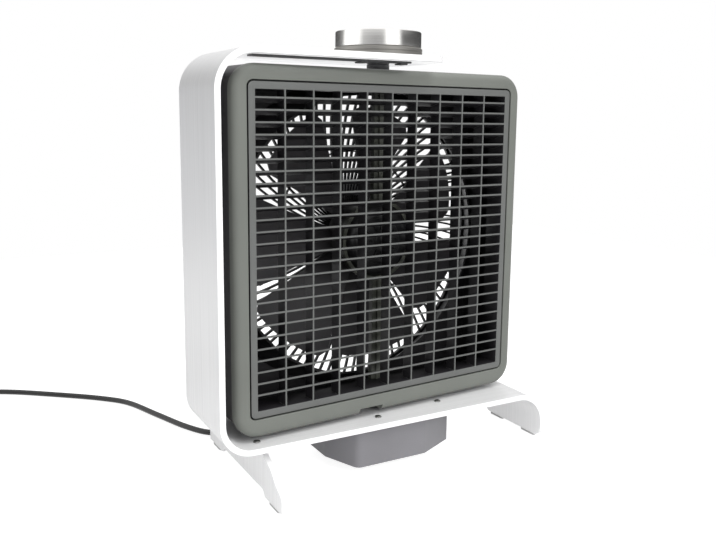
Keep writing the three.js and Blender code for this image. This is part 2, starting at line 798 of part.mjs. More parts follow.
// ---------------------------------------------------------------- pivots and drive
addPart(fan, 'upper_pivot', rodZ(pivotRadius, pinDepth + gap, pivotTop), steel);
addPart(fan, 'lower_pivot', rodZ(pivotRadius, gearFoot - 3, -pinDepth - gap), steel);
const collarBore = pivotRadius + gap;
const lowerCollarTop = notchHeight - boxHalfHeight - gap;
const topCollar = ringProfile(collarBore, collarRadius, boxHalfHeight, upperBushSeat - gap);
const lowerCollar = ringProfile(collarBore, collarRadius, lowerBushSeat + gap, lowerCollarTop);
addPart(fan, 'top_collar', revolveZ(topCollar), blackPlastic);
addPart(fan, 'lower_collar', revolveZ(lowerCollar), blackPlastic);

/** Spur gear outline; one tooth space is centred on the given angle. */
function gearOutline(teeth, spaceAngle) {
  const pitchRadius = (gearModule * teeth) / 2;
  const tip = pitchRadius + 0.8 * gearModule;
  const root = pitchRadius - 1.15 * gearModule;
  const step = (2 * Math.PI) / teeth;
  const points = [];
  for (let k = 0; k < teeth; k += 1) {
    const middle = spaceAngle + (k + 0.5) * step;
    const corners = [[root, -0.33], [tip, -0.12], [tip, 0.12], [root, 0.33]];
    for (const [radius, share] of corners) {
      const angle = middle + share * step;
      points.push([radius * Math.cos(angle), radius * Math.sin(angle)]);
    }
  }
  return outline(points);
}

// the gear turns with the fan, so its tooth space is set back by the fan's turn
const towardsPinion = -radians(restTurn);
addPart(fan, 'swivel_gear', combine(
  [prismZ(gearOutline(gearTeeth, towardsPinion), gearFoot, gearTop)],
  [rodZ(pivotRadius + gap, gearFoot - 1, gearTop + 1, 0, 0, smallSteps)],
), gearNylon);

const driveMotorFoot = housingBottom + housingWall + gap;
const driveMotorTop = driveMotorFoot + driveMotorHeight;
const drivePinLow = driveMotorTop - driveShaftSocket;
const pinionPhase = Math.PI + Math.PI / pinionTeeth;
addPart(stand, 'drive_pinion', combine([
  prismZ(gearOutline(pinionTeeth, pinionPhase), gearFoot - 0.5, gearTop + 0.5),
  rodZ(driveShaftRadius, drivePinLow, gearFoot, 0, 0, smallSteps),
]).translate(pinionDistance, 0, 0), gearNylon);
addPart(stand, 'oscillation_motor', combine(
  [rodZ(driveMotorRadius, driveMotorFoot, driveMotorTop, 0, 0, roundSteps)],
  [rodZ(driveShaftRadius + gap, drivePinLow - gap, driveMotorTop + 1, 0, 0, smallSteps)],
).translate(pinionDistance, 0, 0), steel);

function makeHousing() {
  const plan = (inset) => outline([
    [housingLeft + inset, housingRear - inset, 3],
    [housingLeft + inset, -2, 4],
    [housingLeft + 17 + inset * 0.6, housingFront + inset, 8],
    [40 - inset * 0.3, housingFront + inset, 6],
    [housingRight - inset, -24 + inset * 0.7, 5],
    [housingRight - inset, housingRear - inset, 3],
  ], 3);
  const top = baseUnder - gap;
  const walls = combine(
    [prismZ(plan(0), housingBottom, top)],
    [prismZ(plan(housingWall), housingBottom + housingWall, top + 1)],
  );
  const posts = housingScrews.map(([x, y]) => (
    rodZ(screwRadius + housingPostWall, housingBottom + 1, top, x, y, screwSteps)
  ));
  const holes = housingScrews.map(([x, y]) => (
    rodZ(screwRadius + gap, baseFace - baseScrewLength - 2, top + 1, x, y, screwSteps)
  ));
  const cordHole = rodY(reliefRadius + gap, housingRear - housingWall - 1, housingRear + 1);
  holes.push(cordHole.translate(cordExitX, 0, cordExitZ));
  return combine([walls, ...posts], holes);
}
addPart(stand, 'base_housing', makeHousing(), housingPlastic);
const capacitorLeft = housingLeft + capacitorInset;
addPart(stand, 'run_capacitor', block(
  capacitorLeft, capacitorLeft + capacitorWidth, capacitorFront, capacitorFront + capacitorDepth,
  driveMotorFoot, driveMotorFoot + capacitorHeight,
), blackPlastic);

// ---------------------------------------------------------------- mains cord
const innerWallFace = housingRear - housingWall - gap;
const reliefFoot = innerWallFace - reliefInner;
const reliefEnd = housingRear + reliefLength;
const cordSeat = reliefEnd - reliefSocket;
addPart(stand, 'strain_relief', revolveY([
  [0, reliefFoot], [reliefRadius + reliefLip, reliefFoot], [reliefRadius + reliefLip, innerWallFace],
  [reliefRadius, innerWallFace], [reliefRadius, housingRear + gap],
  [reliefRadius + reliefLip, housingRear + gap], [cordRadius + 1.2, reliefEnd],
  [cordRadius + gap, reliefEnd], [cordRadius + gap, cordSeat], [0, cordSeat],
], smallSteps).translate(cordExitX, 0, cordExitZ), rubber);

const coilStart = new THREE.Vector3(coilCentre.x, coilCentre.y + coilOuterRadius, cordLevel);
const cordRoute = [
  [cordExitX, cordSeat + gap, cordExitZ], [cordExitX, reliefEnd + 1, cordExitZ],
  [cordExitX, reliefEnd + 7, cordExitZ], [-36, 91, -227.5], [-57, 109, -238.5],
  [-88, 120, cordLevel], [-122, 127, cordLevel], [-147, 143, cordLevel], [-164, 171, cordLevel],
  [-186, 230, cordLevel], [-209, 291, cordLevel], [-234, 321, cordLevel], [-288, 367, cordLevel],
  [-345, 409, cordLevel], [-400, 434, cordLevel],
].map((place) => new THREE.Vector3(...place));
const cordEnd = coilStart.clone().setX(coilStart.x + cordDiameter + gap);
cordRoute.push(cordEnd.clone().setX(cordEnd.x + 14), cordEnd);
const cordPath = new THREE.CatmullRomCurve3(cordRoute, false, 'centripetal');
const cordSteps = Math.min(80, Math.ceil(cordPath.getLength() / (2.2 * cordDiameter)));
const cordSection = regularPolygon(cordRadius, 8, Math.PI / 8);
addPart(stand, 'power_cord', new THREE.ExtrudeGeometry(cordSection, {
  steps: cordSteps, extrudePath: cordPath, bevelEnabled: false,
}), cordPvc);

/** Tube of a regular section along points, with flat ends. */
function tubeAlong(points, radius, sides) {
  const up = new THREE.Vector3(0, 0, 1);
  const positions = [];
  points.forEach((point, i) => {
    const ahead = points[Math.min(i + 1, points.length - 1)].clone();
    const along = ahead.sub(points[Math.max(i - 1, 0)]).normalize();
    const side = new THREE.Vector3().crossVectors(up, along).normalize();
    const lift = new THREE.Vector3().crossVectors(along, side);
    for (let k = 0; k < sides; k += 1) {
      const angle = (2 * Math.PI * k) / sides;
      const corner = point.clone().addScaledVector(side, radius * Math.cos(angle));
      positions.push(...corner.addScaledVector(lift, radius * Math.sin(angle)).toArray());
    }
  });
  const index = [];
  const last = (points.length - 1) * sides;
  for (let i = 0; i < points.length - 1; i += 1) {
    for (let k = 0; k < sides; k += 1) {
      const a = i * sides + k;
      const b = i * sides + ((k + 1) % sides);
      index.push(a, b, b + sides, a, b + sides, a + sides);
    }
  }
  for (let k = 1; k < sides - 1; k += 1) {
    index.push(0, k + 1, k);
    index.push(last, last + k, last + k + 1);
  }
  const tube = new THREE.BufferGeometry();
  tube.setAttribute('position', new THREE.Float32BufferAttribute(positions, 3));
  tube.setIndex(index);
  return tube;
}

/** Centre line of the coil: in along the floor, up a layer, and out again. */
function coilPoints() {
  const turns = coilInTurns + coilClimbTurns + coilOutTurns;
  const steps = Math.round(turns * coilStepsPerTurn);
  const innerRadius = coilOuterRadius - coilPitch * coilInTurns;
  const points = [coilStart.clone().setX(coilStart.x + cordDiameter)];
  for (let i = 0; i <= steps; i += 1) {
    const turn = (turns * i) / steps;
    const outward = Math.max(0, turn - coilInTurns - coilClimbTurns);
    const radius = Math.max(innerRadius, coilOuterRadius - coilPitch * turn) + coilPitch * outward;
    const climb = THREE.MathUtils.smoothstep(turn, coilInTurns, coilInTurns + coilClimbTurns);
    const angle = Math.PI / 2 + 2 * Math.PI * turn;
    points.push(new THREE.Vector3(
      coilCentre.x + radius * Math.cos(angle),
      coilCentre.y + radius * Math.sin(angle),
      cordLevel + coilLayerStep * climb,
    ));
  }
  return points;
}
const coilLine = coilPoints();
const coilEnd = coilLine.at(-1);
const plugLevel = floorLevel + plugHeight / 2 + gap;
coilLine.push(new THREE.Vector3(coilEnd.x, coilEnd.y - 12, coilEnd.z));
coilLine.push(new THREE.Vector3(coilEnd.x, coilEnd.y - 24, plugLevel));
coilLine.push(new THREE.Vector3(coilEnd.x, coilEnd.y - 24 - cordDiameter, plugLevel));
addPart(stand, 'cord_coil', tubeAlong(coilLine, cordRadius, 6), cordPvc);

/** Least gap between stretches of the coil that are half a turn or more apart. */
function coilLeastGap(points) {
  let least = Infinity;
  for (let i = 0; i < points.length; i += 1) {
    for (let j = i + coilStepsPerTurn / 2; j < points.length; j += 1) {
      least = Math.min(least, points[i].distanceTo(points[j]) - cordDiameter);
    }
  }
  return least;
}
console.log(`coil: least gap to itself ${coilLeastGap(coilLine).toFixed(2)} mm`);
const coilLength = new THREE.CatmullRomCurve3(coilLine).getLength();
console.log(`cord: ${Math.round(cordPath.getLength() + coilLength)} mm in all`);

const plugFace = coilLine.at(-1).y - gap;
const plugEnd = plugFace - plugLength;
const plugOutline = outline([
  [coilEnd.x - plugWidth / 2, plugEnd, 2], [coilEnd.x + plugWidth / 2, plugEnd, 2],
  [coilEnd.x + plugWidth / 2, plugFace - plugShoulder, 5], [coilEnd.x + plugNeck, plugFace],
  [coilEnd.x - plugNeck, plugFace], [coilEnd.x - plugWidth / 2, plugFace - plugShoulder, 5],
], 3);
const pins = [-1, 1].map((side) => coilEnd.x + side * pinHalfSpread);
const pinSockets = pins.map((x) => block(
  x - pinHalfThick - gap, x + pinHalfThick + gap, plugEnd - 1, plugEnd + pinSocket,
  plugLevel - pinHalfWidth - gap, plugLevel + pinHalfWidth + gap,
));
addPart(stand, 'plug_body', combine(
  [prismZ(plugOutline, plugLevel - plugHeight / 2, plugLevel + plugHeight / 2)], pinSockets,
), blackPlastic);
pins.forEach((x, i) => {
  const pin = block(
    x - pinHalfThick, x + pinHalfThick, plugEnd - pinLength, plugEnd + pinSocket - gap,
    plugLevel - pinHalfWidth, plugLevel + pinHalfWidth,
  );
  addPart(stand, `plug_pin_${i + 1}`, pin, brass);
});

// the origin lies on the floor, under the middle of the stand's footprint
model.position.set(-(panelFace + footFace) / 2, -(toeFront + toeRear) / 2, -floorLevel);

const product = new THREE.Group();
product.add(model);
export default product;
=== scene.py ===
# %% [markdown]
# # A square box fan on a bent aluminium stand
# The real object is a flat square fan that hangs between the arms of a C, bent from
# one strip of aluminium plate. A round knob sits on top of the C, a plastic housing
# hangs under it, and a black mains cord leaves the back of that housing.
# The plain solids of every piece are already packed as a fixed frame. This lesson
# loads them, and then dresses or rebuilds each piece until it looks like the real one.
# A piece that is rebuilt stands exactly where its plain solid is, because both share
# one frame, in metres.

# %% Load the frame
import json
import math
import bmesh
import bpy
from mathutils import Matrix, Vector


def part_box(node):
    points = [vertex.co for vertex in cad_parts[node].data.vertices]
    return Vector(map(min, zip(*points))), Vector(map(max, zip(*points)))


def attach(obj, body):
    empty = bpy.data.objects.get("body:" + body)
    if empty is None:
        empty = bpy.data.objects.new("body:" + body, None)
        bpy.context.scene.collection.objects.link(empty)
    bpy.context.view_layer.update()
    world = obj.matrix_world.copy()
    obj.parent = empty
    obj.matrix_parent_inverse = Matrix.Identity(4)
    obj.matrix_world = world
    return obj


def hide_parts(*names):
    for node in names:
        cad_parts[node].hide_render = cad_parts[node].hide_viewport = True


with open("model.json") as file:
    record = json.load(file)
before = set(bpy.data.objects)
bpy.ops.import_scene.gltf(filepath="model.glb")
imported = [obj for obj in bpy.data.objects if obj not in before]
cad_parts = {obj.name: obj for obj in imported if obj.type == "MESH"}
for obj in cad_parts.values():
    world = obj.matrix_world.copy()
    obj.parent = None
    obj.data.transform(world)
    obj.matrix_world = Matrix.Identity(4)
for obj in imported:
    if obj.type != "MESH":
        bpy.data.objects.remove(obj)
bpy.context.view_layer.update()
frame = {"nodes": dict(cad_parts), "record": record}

scene = bpy.context.scene


def added(name, data):
    """Adds an object that holds this mesh, lamp or camera to the scene."""
    made = bpy.data.objects.new(name, data)
    scene.collection.objects.link(made)
    return made


print("nodes in the frame:", len(frame["nodes"]))

# %% [markdown]
# ## Two places to work in
# The fan turns about an upright pivot line. It is easiest to draw every piece in
# millimetres about the point where that line crosses the middle of the fan, and to
# move the finished mesh into the frame at the end. The stand is only shifted. The
# fan is also turned by four degrees, as the real one was left when it was last used.

# %% Places of the stand and of the fan
mm = 0.001
pivot = Vector((-4.0, -20.0, 249.0))
rest_turn = math.radians(4.07)
floor_level = -pivot.z
to_metres = Matrix.Scale(mm, 4)
stand_place = to_metres @ Matrix.Translation(pivot)
fan_place = stand_place @ Matrix.Rotation(rest_turn, 4, "Z")
print("pivot line at", tuple(round(v * mm, 4) for v in pivot))

# %% [markdown]
# ## The camera
# The view is from the left front and a little above. The camera's three axes are
# worked out from a heading, a downward pitch and a slight roll, and go straight into
# its matrix, which is easier to check than three chained turns.

# %% Camera
heading = math.radians(29.606)
pitch = math.radians(8.807)
roll = math.radians(0.676)
camera_place = (-0.44088, -0.77190, 0.38108)
forward = Vector((
    math.sin(heading) * math.cos(pitch),
    math.cos(heading) * math.cos(pitch),
    -math.sin(pitch),
))
level_right = Vector((math.cos(heading), -math.sin(heading), 0.0))
level_up = level_right.cross(forward)
right = level_right * math.cos(roll) + level_up * math.sin(roll)
up = level_up * math.cos(roll) - level_right * math.sin(roll)
camera_data = bpy.data.cameras.new("view_camera")
camera_data.lens = 40.381
camera_data.shift_x, camera_data.shift_y = -0.01394, -0.03976
camera_data.sensor_width = 36.0
camera_data.clip_start = 0.02
camera = added("view_camera", camera_data)
turn = Matrix((right, up, -forward)).transposed().to_4x4()
camera.matrix_world = Matrix.Translation(camera_place) @ turn
scene.camera = camera
print("camera looks along", tuple(round(v, 3) for v in forward))

# %% [markdown]
# ## The mains cord: its route
# A cord is one piece of fixed length. This one comes straight out of the housing,
# drops to the floor in a short arc and runs off to the left in loose curves. The route
# is a handful of points joined by one smooth curve. A hand-drawn curve object would do
# as well, but a list of points can be measured, and its length has to be right.

# %% Points of the cord
cord_diameter = 6.8
cord_level = floor_level + cord_diameter / 2
exit_x, exit_z = -30.0, -222.0
relief_end = 67.0  # where the rubber sleeve ends
coil_centre = Vector((-462.0, 388.0, 0.0))
coil_outer = 53.0
coil_start_y = coil_centre.y + coil_outer
lead_in_x = coil_centre.x + cord_diameter + 0.3
cord_route = [Vector(p) for p in (
    (exit_x, relief_end - 4.7, exit_z), (exit_x, relief_end + 1, exit_z),
    (exit_x, relief_end + 7, exit_z), (-36, 91, -227.5), (-57, 109, -238.5),
    (-88, 120, cord_level), (-122, 127, cord_level), (-147, 143, cord_level),
    (-164, 171, cord_level), (-186, 230, cord_level), (-209, 291, cord_level),
    (-234, 321, cord_level), (-288, 367, cord_level), (-345, 409, cord_level),
    (-400, 434, cord_level), (lead_in_x + 14, coil_start_y, cord_level),
    (lead_in_x, coil_start_y, cord_level),
)]


def smooth_line(points, steps):
    """Centripetal Catmull-Rom line through the points, with steps between each two."""
    ends = [points[0] * 2 - points[1]] + points + [points[-1] * 2 - points[-2]]
    line = []
    for i in range(len(points) - 1):
        a, b, c, d = ends[i:i + 4]
        knots = [0.0]
        for start, end in ((a, b), (b, c), (c, d)):
            knots.append(knots[-1] + math.sqrt((end - start).length))
        t0, t1, t2, t3 = knots
        for k in range(steps):
            t = t1 + (t2 - t1) * k / steps
            ab = a.lerp(b, (t - t0) / (t1 - t0))
            bc = b.lerp(c, (t - t1) / (t2 - t1))
            cd = c.lerp(d, (t - t2) / (t3 - t2))
            abc = ab.lerp(bc, (t - t0) / (t2 - t0))
            bcd = bc.lerp(cd, (t - t1) / (t3 - t1))
            line.append(abc.lerp(bcd, (t - t1) / (t2 - t1)))
    line.append(points[-1].copy())
    return line


run_points = smooth_line(cord_route, 6)
print("cord points before the coil:", len(run_points))

# %% [markdown]
# ## The mains cord: its coil
# The rest of the cord is wound up flat, as for storage. The coil has two layers: it
# winds in along the floor, climbs over its own inner end, and winds out on top, where
# the plug lies. A spiral from a formula keeps the turns evenly apart, so that the cord
# never runs through itself.

# %% Coil of the cord
coil_pitch = 8.4
coil_layer = 7.6
turns_in, turns_climb, turns_out = 2.5, 0.5, 2.25


def coil_line(steps_per_turn=36):
    """Spiral in on the lower layer, up, and out again on the upper layer."""
    turns = turns_in + turns_climb + turns_out
    steps = round(turns * steps_per_turn)
    inner = coil_outer - coil_pitch * turns_in
    line = []
    for i in range(steps + 1):
        turn_now = turns * i / steps
        outward = max(0.0, turn_now - turns_in - turns_climb)
        radius = max(inner, coil_outer - coil_pitch * turn_now) + coil_pitch * outward
        share = min(max((turn_now - turns_in) / turns_climb, 0.0), 1.0)
        climb = share * share * (3 - 2 * share)
        angle = math.pi / 2 + 2 * math.pi * turn_now
        line.append(coil_centre + Vector((
            radius * math.cos(angle), radius * math.sin(angle), cord_level + coil_layer * climb,
        )))
    return line


coil = coil_line()
plug_level = floor_level + 8.8
tail_run = 24
tail = [
    coil[-1] + Vector((0, -tail_run / 2, 0)),
    Vector((coil[-1].x, coil[-1].y - tail_run, plug_level)),
    Vector((coil[-1].x, coil[-1].y - tail_run - cord_diameter, plug_level)),
]
cord_points = run_points + coil + tail

# %% [markdown]
# ## The mains cord: its sheath
# The sheath is a tube of rings along that line. Each ring takes over the direction of
# the one before it, turned as little as the bend needs, so the tube never twists. A
# curve with a bevel would look the same, but a plain mesh holds nothing else.

# %% Cord tube
def tube(name, points, radius, sides=14):
    """A closed round tube along the points, with flat ends."""
    corners, faces = [], []
    side = Vector((1, 0, 0))
    for i, point in enumerate(points):
        along = (points[min(i + 1, len(points) - 1)] - points[max(i - 1, 0)]).normalized()
        side = (side - along * side.dot(along)).normalized()
        other = along.cross(side)
        for k in range(sides):
            angle = 2 * math.pi * k / sides
            corners.append(point + (side * math.cos(angle) + other * math.sin(angle)) * radius)
    for i in range(len(points) - 1):
        for k in range(sides):
            low, high = i * sides + k, i * sides + (k + 1) % sides
            faces.append((low, high, high + sides, low + sides))
    first, last = range(sides), range(len(corners) - sides, len(corners))
    faces += [tuple(reversed(first)), tuple(last)]
    mesh = bpy.data.meshes.new(name)
    mesh.from_pydata(corners, [], faces)
    for face in mesh.polygons:
        face.use_smooth = len(face.vertices) == 4
    return added(name, mesh)


cord_path = [stand_place @ point for point in cord_points]
mains_cord = tube("mains_cord", cord_path, cord_diameter / 2 * mm)
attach(mains_cord, "stand")
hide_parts("power_cord", "cord_coil")
print("cord faces:", len(mains_cord.data.polygons))

# %% [markdown]
# ## Nodes by name
# A material or a world is a small graph of nodes. Joining them by hand takes one line
# for each link. Four helpers make it shorter: one adds a node and fills its inputs by
# name, and the others add a sum, a colour ramp or a mix of two colours.

# %% Node helpers
def add_node(tree, kind, settings=None, **inputs):
    """Adds a node, sets its fields, and fills or links its inputs by name."""
    made = tree.nodes.new(kind)
    for field, value in (settings or {}).items():
        setattr(made, field, value)
    for name, value in inputs.items():
        fill(tree, made.inputs[name.replace("_", " ")], value)
    return made


def fill(tree, socket, value):
    """Links the socket to another one, or sets its own value."""
    if isinstance(value, bpy.types.NodeSocket):
        tree.links.new(value, socket)
    else:
        socket.default_value = value


def maths(tree, operation, *values):
    """Adds one sum and gives its result."""
    made = tree.nodes.new("ShaderNodeMath")
    made.operation = operation
    for socket, value in zip(made.inputs, values):
        fill(tree, socket, value)
    return made.outputs[0]


def ramp(tree, factor, stops):
    """Adds a colour ramp through (place, colour) stops."""
    made = tree.nodes.new("ShaderNodeValToRGB")
    while len(made.color_ramp.elements) < len(stops):
        made.color_ramp.elements.new(0.5)
    for element, (place, colour) in zip(made.color_ramp.elements, stops):
        element.position = place
        element.color = (*colour, 1.0)
    fill(tree, made.inputs[0], factor)
    return made.outputs[0]


def mixed_colour(tree, factor, first, second):
    """Goes from the first colour to the second as the factor goes from 0 to 1."""
    made = add_node(tree, "ShaderNodeMix", {"data_type": "RGBA"})
    for name, value in (("Factor", factor), ("A", first), ("B", second)):
        fill(tree, made.inputs[name], value)
    return made.outputs["Result"]


def share_between(tree, value, start, end):
    """0 where the value is at start, 1 where it is at end."""
    made = add_node(tree, "ShaderNodeMapRange", Value=value)
    made.inputs["From Min"].default_value = start
    made.inputs["From Max"].default_value = end
    return made.outputs[0]


def new_look(name):
    """A new material, with its node tree and its shader."""
    look = bpy.data.materials.new(name)
    look.use_nodes = True
    tree = look.node_tree
    return look, tree, tree.nodes["Principled BSDF"]


white = (1.0, 1.0, 1.0, 1.0)
print("node helpers are ready")

# %% [markdown]
# ## What reflections find
# The object stands on a plain pale floor in soft light, and the world is white to the
# camera. Polished metal would look flat in a plain white world. So reflections find a
# studio: light screens and dark walls round the horizon, which is what draws bands on
# turned metal, plain light above them, and the pale floor below.

# %% Studio seen in reflections
horizon_bands = (  # degrees from straight behind the camera, less than 0 is to its left
    (-180, 0.05), (-132, 0.07), (-110, 0.20), (-98, 1.0), (-58, 1.0), (-42, 0.34),
    (-8, 0.24), (14, 0.26), (24, 1.0), (56, 1.0), (64, 0.07), (180, 0.03),
)
ceiling = (0.75, 0.75, 0.75, 1.0)
world = bpy.data.worlds.new("studio")
world.use_nodes = True
scene.world = world
sky = world.node_tree
sky.nodes.clear()
direction = add_node(sky, "ShaderNodeTexCoord").outputs["Generated"]
ray = add_node(sky, "ShaderNodeSeparateXYZ", Vector=direction).outputs


def facing(x, y, z):
    """How far a direction points along (x, y, z), from -1 to 1."""
    first = maths(sky, "MULTIPLY", ray["X"], x)
    second = maths(sky, "MULTIPLY_ADD", ray["Y"], y, first)
    return maths(sky, "MULTIPLY_ADD", ray["Z"], z, second)


backward = facing(-math.sin(heading), -math.cos(heading), 0.0)
sideways = facing(math.cos(heading), -math.sin(heading), 0.0)
bearing = maths(sky, "ARCTAN2", sideways, backward)
bands = ramp(
    sky, maths(sky, "MULTIPLY_ADD", bearing, 0.5 / math.pi, 0.5),
    [(0.5 + degrees / 360, (level,) * 3) for degrees, level in horizon_bands],
)
leftward = ramp(sky, maths(sky, "MULTIPLY", ray["X"], -1.0), [
    (0.0, (1.0,) * 3), (0.38, (0.47, 0.49, 0.53)), (0.95, (0.42, 0.44, 0.48)),
])
raised = share_between(sky, ray["Z"], -0.02, 0.06)
walls = mixed_colour(sky, share_between(sky, ray["Z"], 0.28, 0.60), bands, ceiling)
below = mixed_colour(sky, share_between(sky, ray["Z"], 0.0, -0.34), leftward, white)
mirrored = mixed_colour(sky, raised, below, walls)
print("light and dark bands:", len(horizon_bands))

# %% [markdown]
# ## What the world lights
# As a lamp, the same world is dimmer, so that colours render about as they are
# written. It is brightest in front of the object and above it. Light Path tells the
# three uses apart: a ray from the camera, a ray from a reflection, and any other.

# %% World as background and as lamp
rays = add_node(sky, "ShaderNodeLightPath").outputs
reflected = maths(sky, "MAXIMUM", rays["Is Glossy Ray"], rays["Is Transmission Ray"])
studio = mixed_colour(sky, reflected, white, mirrored)
lamp_slope = facing(0.04, -0.44, 0.34)
lamp_level = maths(sky, "MAXIMUM", maths(sky, "ADD", lamp_slope, 0.45), 0.04)
seen = maths(sky, "MAXIMUM", rays["Is Camera Ray"], reflected)
as_lamp = maths(sky, "MULTIPLY", maths(sky, "SUBTRACT", 1.0, seen), lamp_level)
# the light screens of the studio are brighter than the white behind the object
screens = maths(sky, "MULTIPLY", maths(sky, "MULTIPLY", reflected, raised), 0.7)
strength = maths(sky, "ADD", maths(sky, "ADD", seen, screens), as_lamp)
background = add_node(sky, "ShaderNodeBackground", Color=studio, Strength=strength)
world_out = add_node(sky, "ShaderNodeOutputWorld")
sky.links.new(background.outputs[0], world_out.inputs[0])
print("world nodes:", len(sky.nodes))

# %% [markdown]
# ## Floor
# The floor is one flat square, just under the feet. It glows only for the camera and
# for reflections, where it has to look nearly white. To every other ray it is a plain
# matt surface, so it takes the object's shadow and throws back only what falls on it.

# %% Floor
floor_half, floor_height = 1.5, -0.0006
floor_mesh = bpy.data.meshes.new("floor")
floor_mesh.from_pydata([
    (x, y, floor_height) for x, y in (
        (-floor_half, -floor_half), (floor_half, -floor_half),
        (floor_half, floor_half), (-floor_half, floor_half),
    )
], [], [(0, 1, 2, 3)])
floor = added("floor", floor_mesh)
floor_look, tree, shader = new_look("pale_floor")
shader.inputs["Base Color"].default_value = (0.45, 0.45, 0.45, 1.0)
shader.inputs["Roughness"].default_value = 0.9
shader.inputs["Specular IOR Level"].default_value = 0.0
shader.inputs["Emission Color"].default_value = white
rays = add_node(tree, "ShaderNodeLightPath").outputs
seen = maths(tree, "MAXIMUM", rays["Is Camera Ray"], rays["Is Glossy Ray"])
fill(tree, shader.inputs["Emission Strength"], maths(tree, "MULTIPLY", seen, 0.88))
floor.data.materials.append(floor_look)
print("floor is", 2 * floor_half, "m wide")

# %% [markdown]
# ## Lamps
# Two large soft lamps in front give the fan its shape, and a low one fills in the feet
# and the lower plate. The last one is small. It stands in for the light that a white
# room throws into the narrow gap over the fan, and without it the top plate mirrors
# only the dark box. No lamp shows itself in a reflection.

# %% Lamps
def soft_lamp(name, place, aim, width, height, watts):
    """A soft light that is seen only by what it lights."""
    data = bpy.data.lights.new(name, "AREA")
    data.shape = "RECTANGLE"
    data.size, data.size_y = width, height
    data.energy = watts
    made = added(name, data)
    made.location = place
    made.rotation_euler = (Vector(aim) - Vector(place)).to_track_quat("-Z", "Y").to_euler()
    made.visible_camera = made.visible_glossy = False


soft_lamp("key_lamp", (0.5, -2.2, 1.3), (0, 0, 0.25), 1.2, 1.2, 21)
soft_lamp("top_lamp", (0.3, -0.9, 1.9), (0, 0, 0.1), 1.2, 1.2, 20)
soft_lamp("low_lamp", (-0.75, -1.1, 0.10), (0.05, -0.05, 0.05), 0.7, 0.16, 3.5)
soft_lamp("gap_lamp", (-0.02, -0.02, 0.4325), (-0.02, -0.02, 0.5), 0.32, 0.10, 0.14)
print("lamps:", len(bpy.data.lights))

# %% [markdown]
# ## Grain, rubbed edges and brush lines
# Moulded plastic is never one flat colour. The mould leaves a fine matt grain, the
# colour drifts a little over a large face, and edges are rubbed slightly paler. Metal
# carries the lines of its brush or lathe. Each of these effects is a small shader group
# with named inputs, built once and placed in every material that needs it.

# %% Group helpers
NUMBER, VECTOR = "NodeSocketFloat", "NodeSocketVector"


def shader_group(name, inputs, outputs):
    """A new node group, with the sockets that its own nodes read and feed."""
    group = bpy.data.node_groups.new(name, "ShaderNodeTree")
    for label, kind, value in inputs:
        socket = group.interface.new_socket(label, in_out="INPUT", socket_type=kind)
        if value is not None:
            socket.default_value = value
    for label in outputs:
        group.interface.new_socket(label, in_out="OUTPUT", socket_type=NUMBER)
    given = group.nodes.new("NodeGroupInput").outputs
    return group, given, group.nodes.new("NodeGroupOutput").inputs


def place_group(tree, group, **inputs):
    """Places a group in a material and gives its outputs."""
    return add_node(tree, "ShaderNodeGroup", {"node_tree": group}, **inputs).outputs


def noise(tree, vector, scale, **inputs):
    """Soft noise, from 0 to 1."""
    made = add_node(tree, "ShaderNodeTexNoise", Vector=vector, Scale=scale, **inputs)
    return made.outputs["Fac"]


def likeness(tree, first, second):
    """How far two directions agree, from -1 to 1."""
    made = add_node(tree, "ShaderNodeVectorMath", {"operation": "DOT_PRODUCT"})
    fill(tree, made.inputs[0], first)
    fill(tree, made.inputs[1], second)
    return made.outputs["Value"]


# %% Grain of a mould
mould_grain, given, result = shader_group("mould_grain", [
    ("Vector", VECTOR, None), ("Grain Size", NUMBER, 900.0), ("Drift Size", NUMBER, 14.0),
], ["Height", "Drift"])
grain = noise(mould_grain, given["Vector"], given["Grain Size"], Detail=3.0)
pits = add_node(
    mould_grain, "ShaderNodeTexVoronoi", Vector=given["Vector"], Scale=given["Grain Size"],
)
pitted = maths(mould_grain, "MULTIPLY_ADD", pits.outputs["Distance"], 0.6, grain)
drift = noise(mould_grain, given["Vector"], given["Drift Size"], Detail=2.0)
fill(mould_grain, result["Height"], pitted)
fill(mould_grain, result["Drift"], drift)
print(mould_grain.name, "has", len(mould_grain.nodes), "nodes")

# %% Rubbed edges
edge_rub, given, result = shader_group(
    "edge_rub", [("Width", NUMBER, 0.001), ("Vector", VECTOR, None)], ["Mask"],
)
rounded_normal = add_node(edge_rub, "ShaderNodeBevel", {"samples": 4}, Radius=given["Width"])
true_normal = add_node(edge_rub, "ShaderNodeNewGeometry").outputs["Normal"]
same = likeness(edge_rub, rounded_normal.outputs[0], true_normal)
edge = maths(edge_rub, "MULTIPLY", maths(edge_rub, "SUBTRACT", 1.0, same), 6.0)
rubbed = maths(
    edge_rub, "MULTIPLY", edge, noise(edge_rub, given["Vector"], 160.0, Detail=3.0),
)
fill(edge_rub, result["Mask"], maths(edge_rub, "MINIMUM", rubbed, 1.0))
print(edge_rub.name, "has", len(edge_rub.nodes), "nodes")

# %% Brush lines
brush_lines, given, result = shader_group("brush_lines", [
    ("Vector", VECTOR, None), ("Fine Scale", NUMBER, 1.0), ("Coarse Scale", NUMBER, 0.22),
], ["Fine", "Coarse"])
fine = noise(brush_lines, given["Vector"], given["Fine Scale"], Detail=4.0, Roughness=0.7)
coarse = noise(brush_lines, given["Vector"], given["Coarse Scale"], Detail=2.0)
fill(brush_lines, result["Fine"], fine)
fill(brush_lines, result["Coarse"], coarse)
print(brush_lines.name, "has", len(brush_lines.nodes), "nodes")
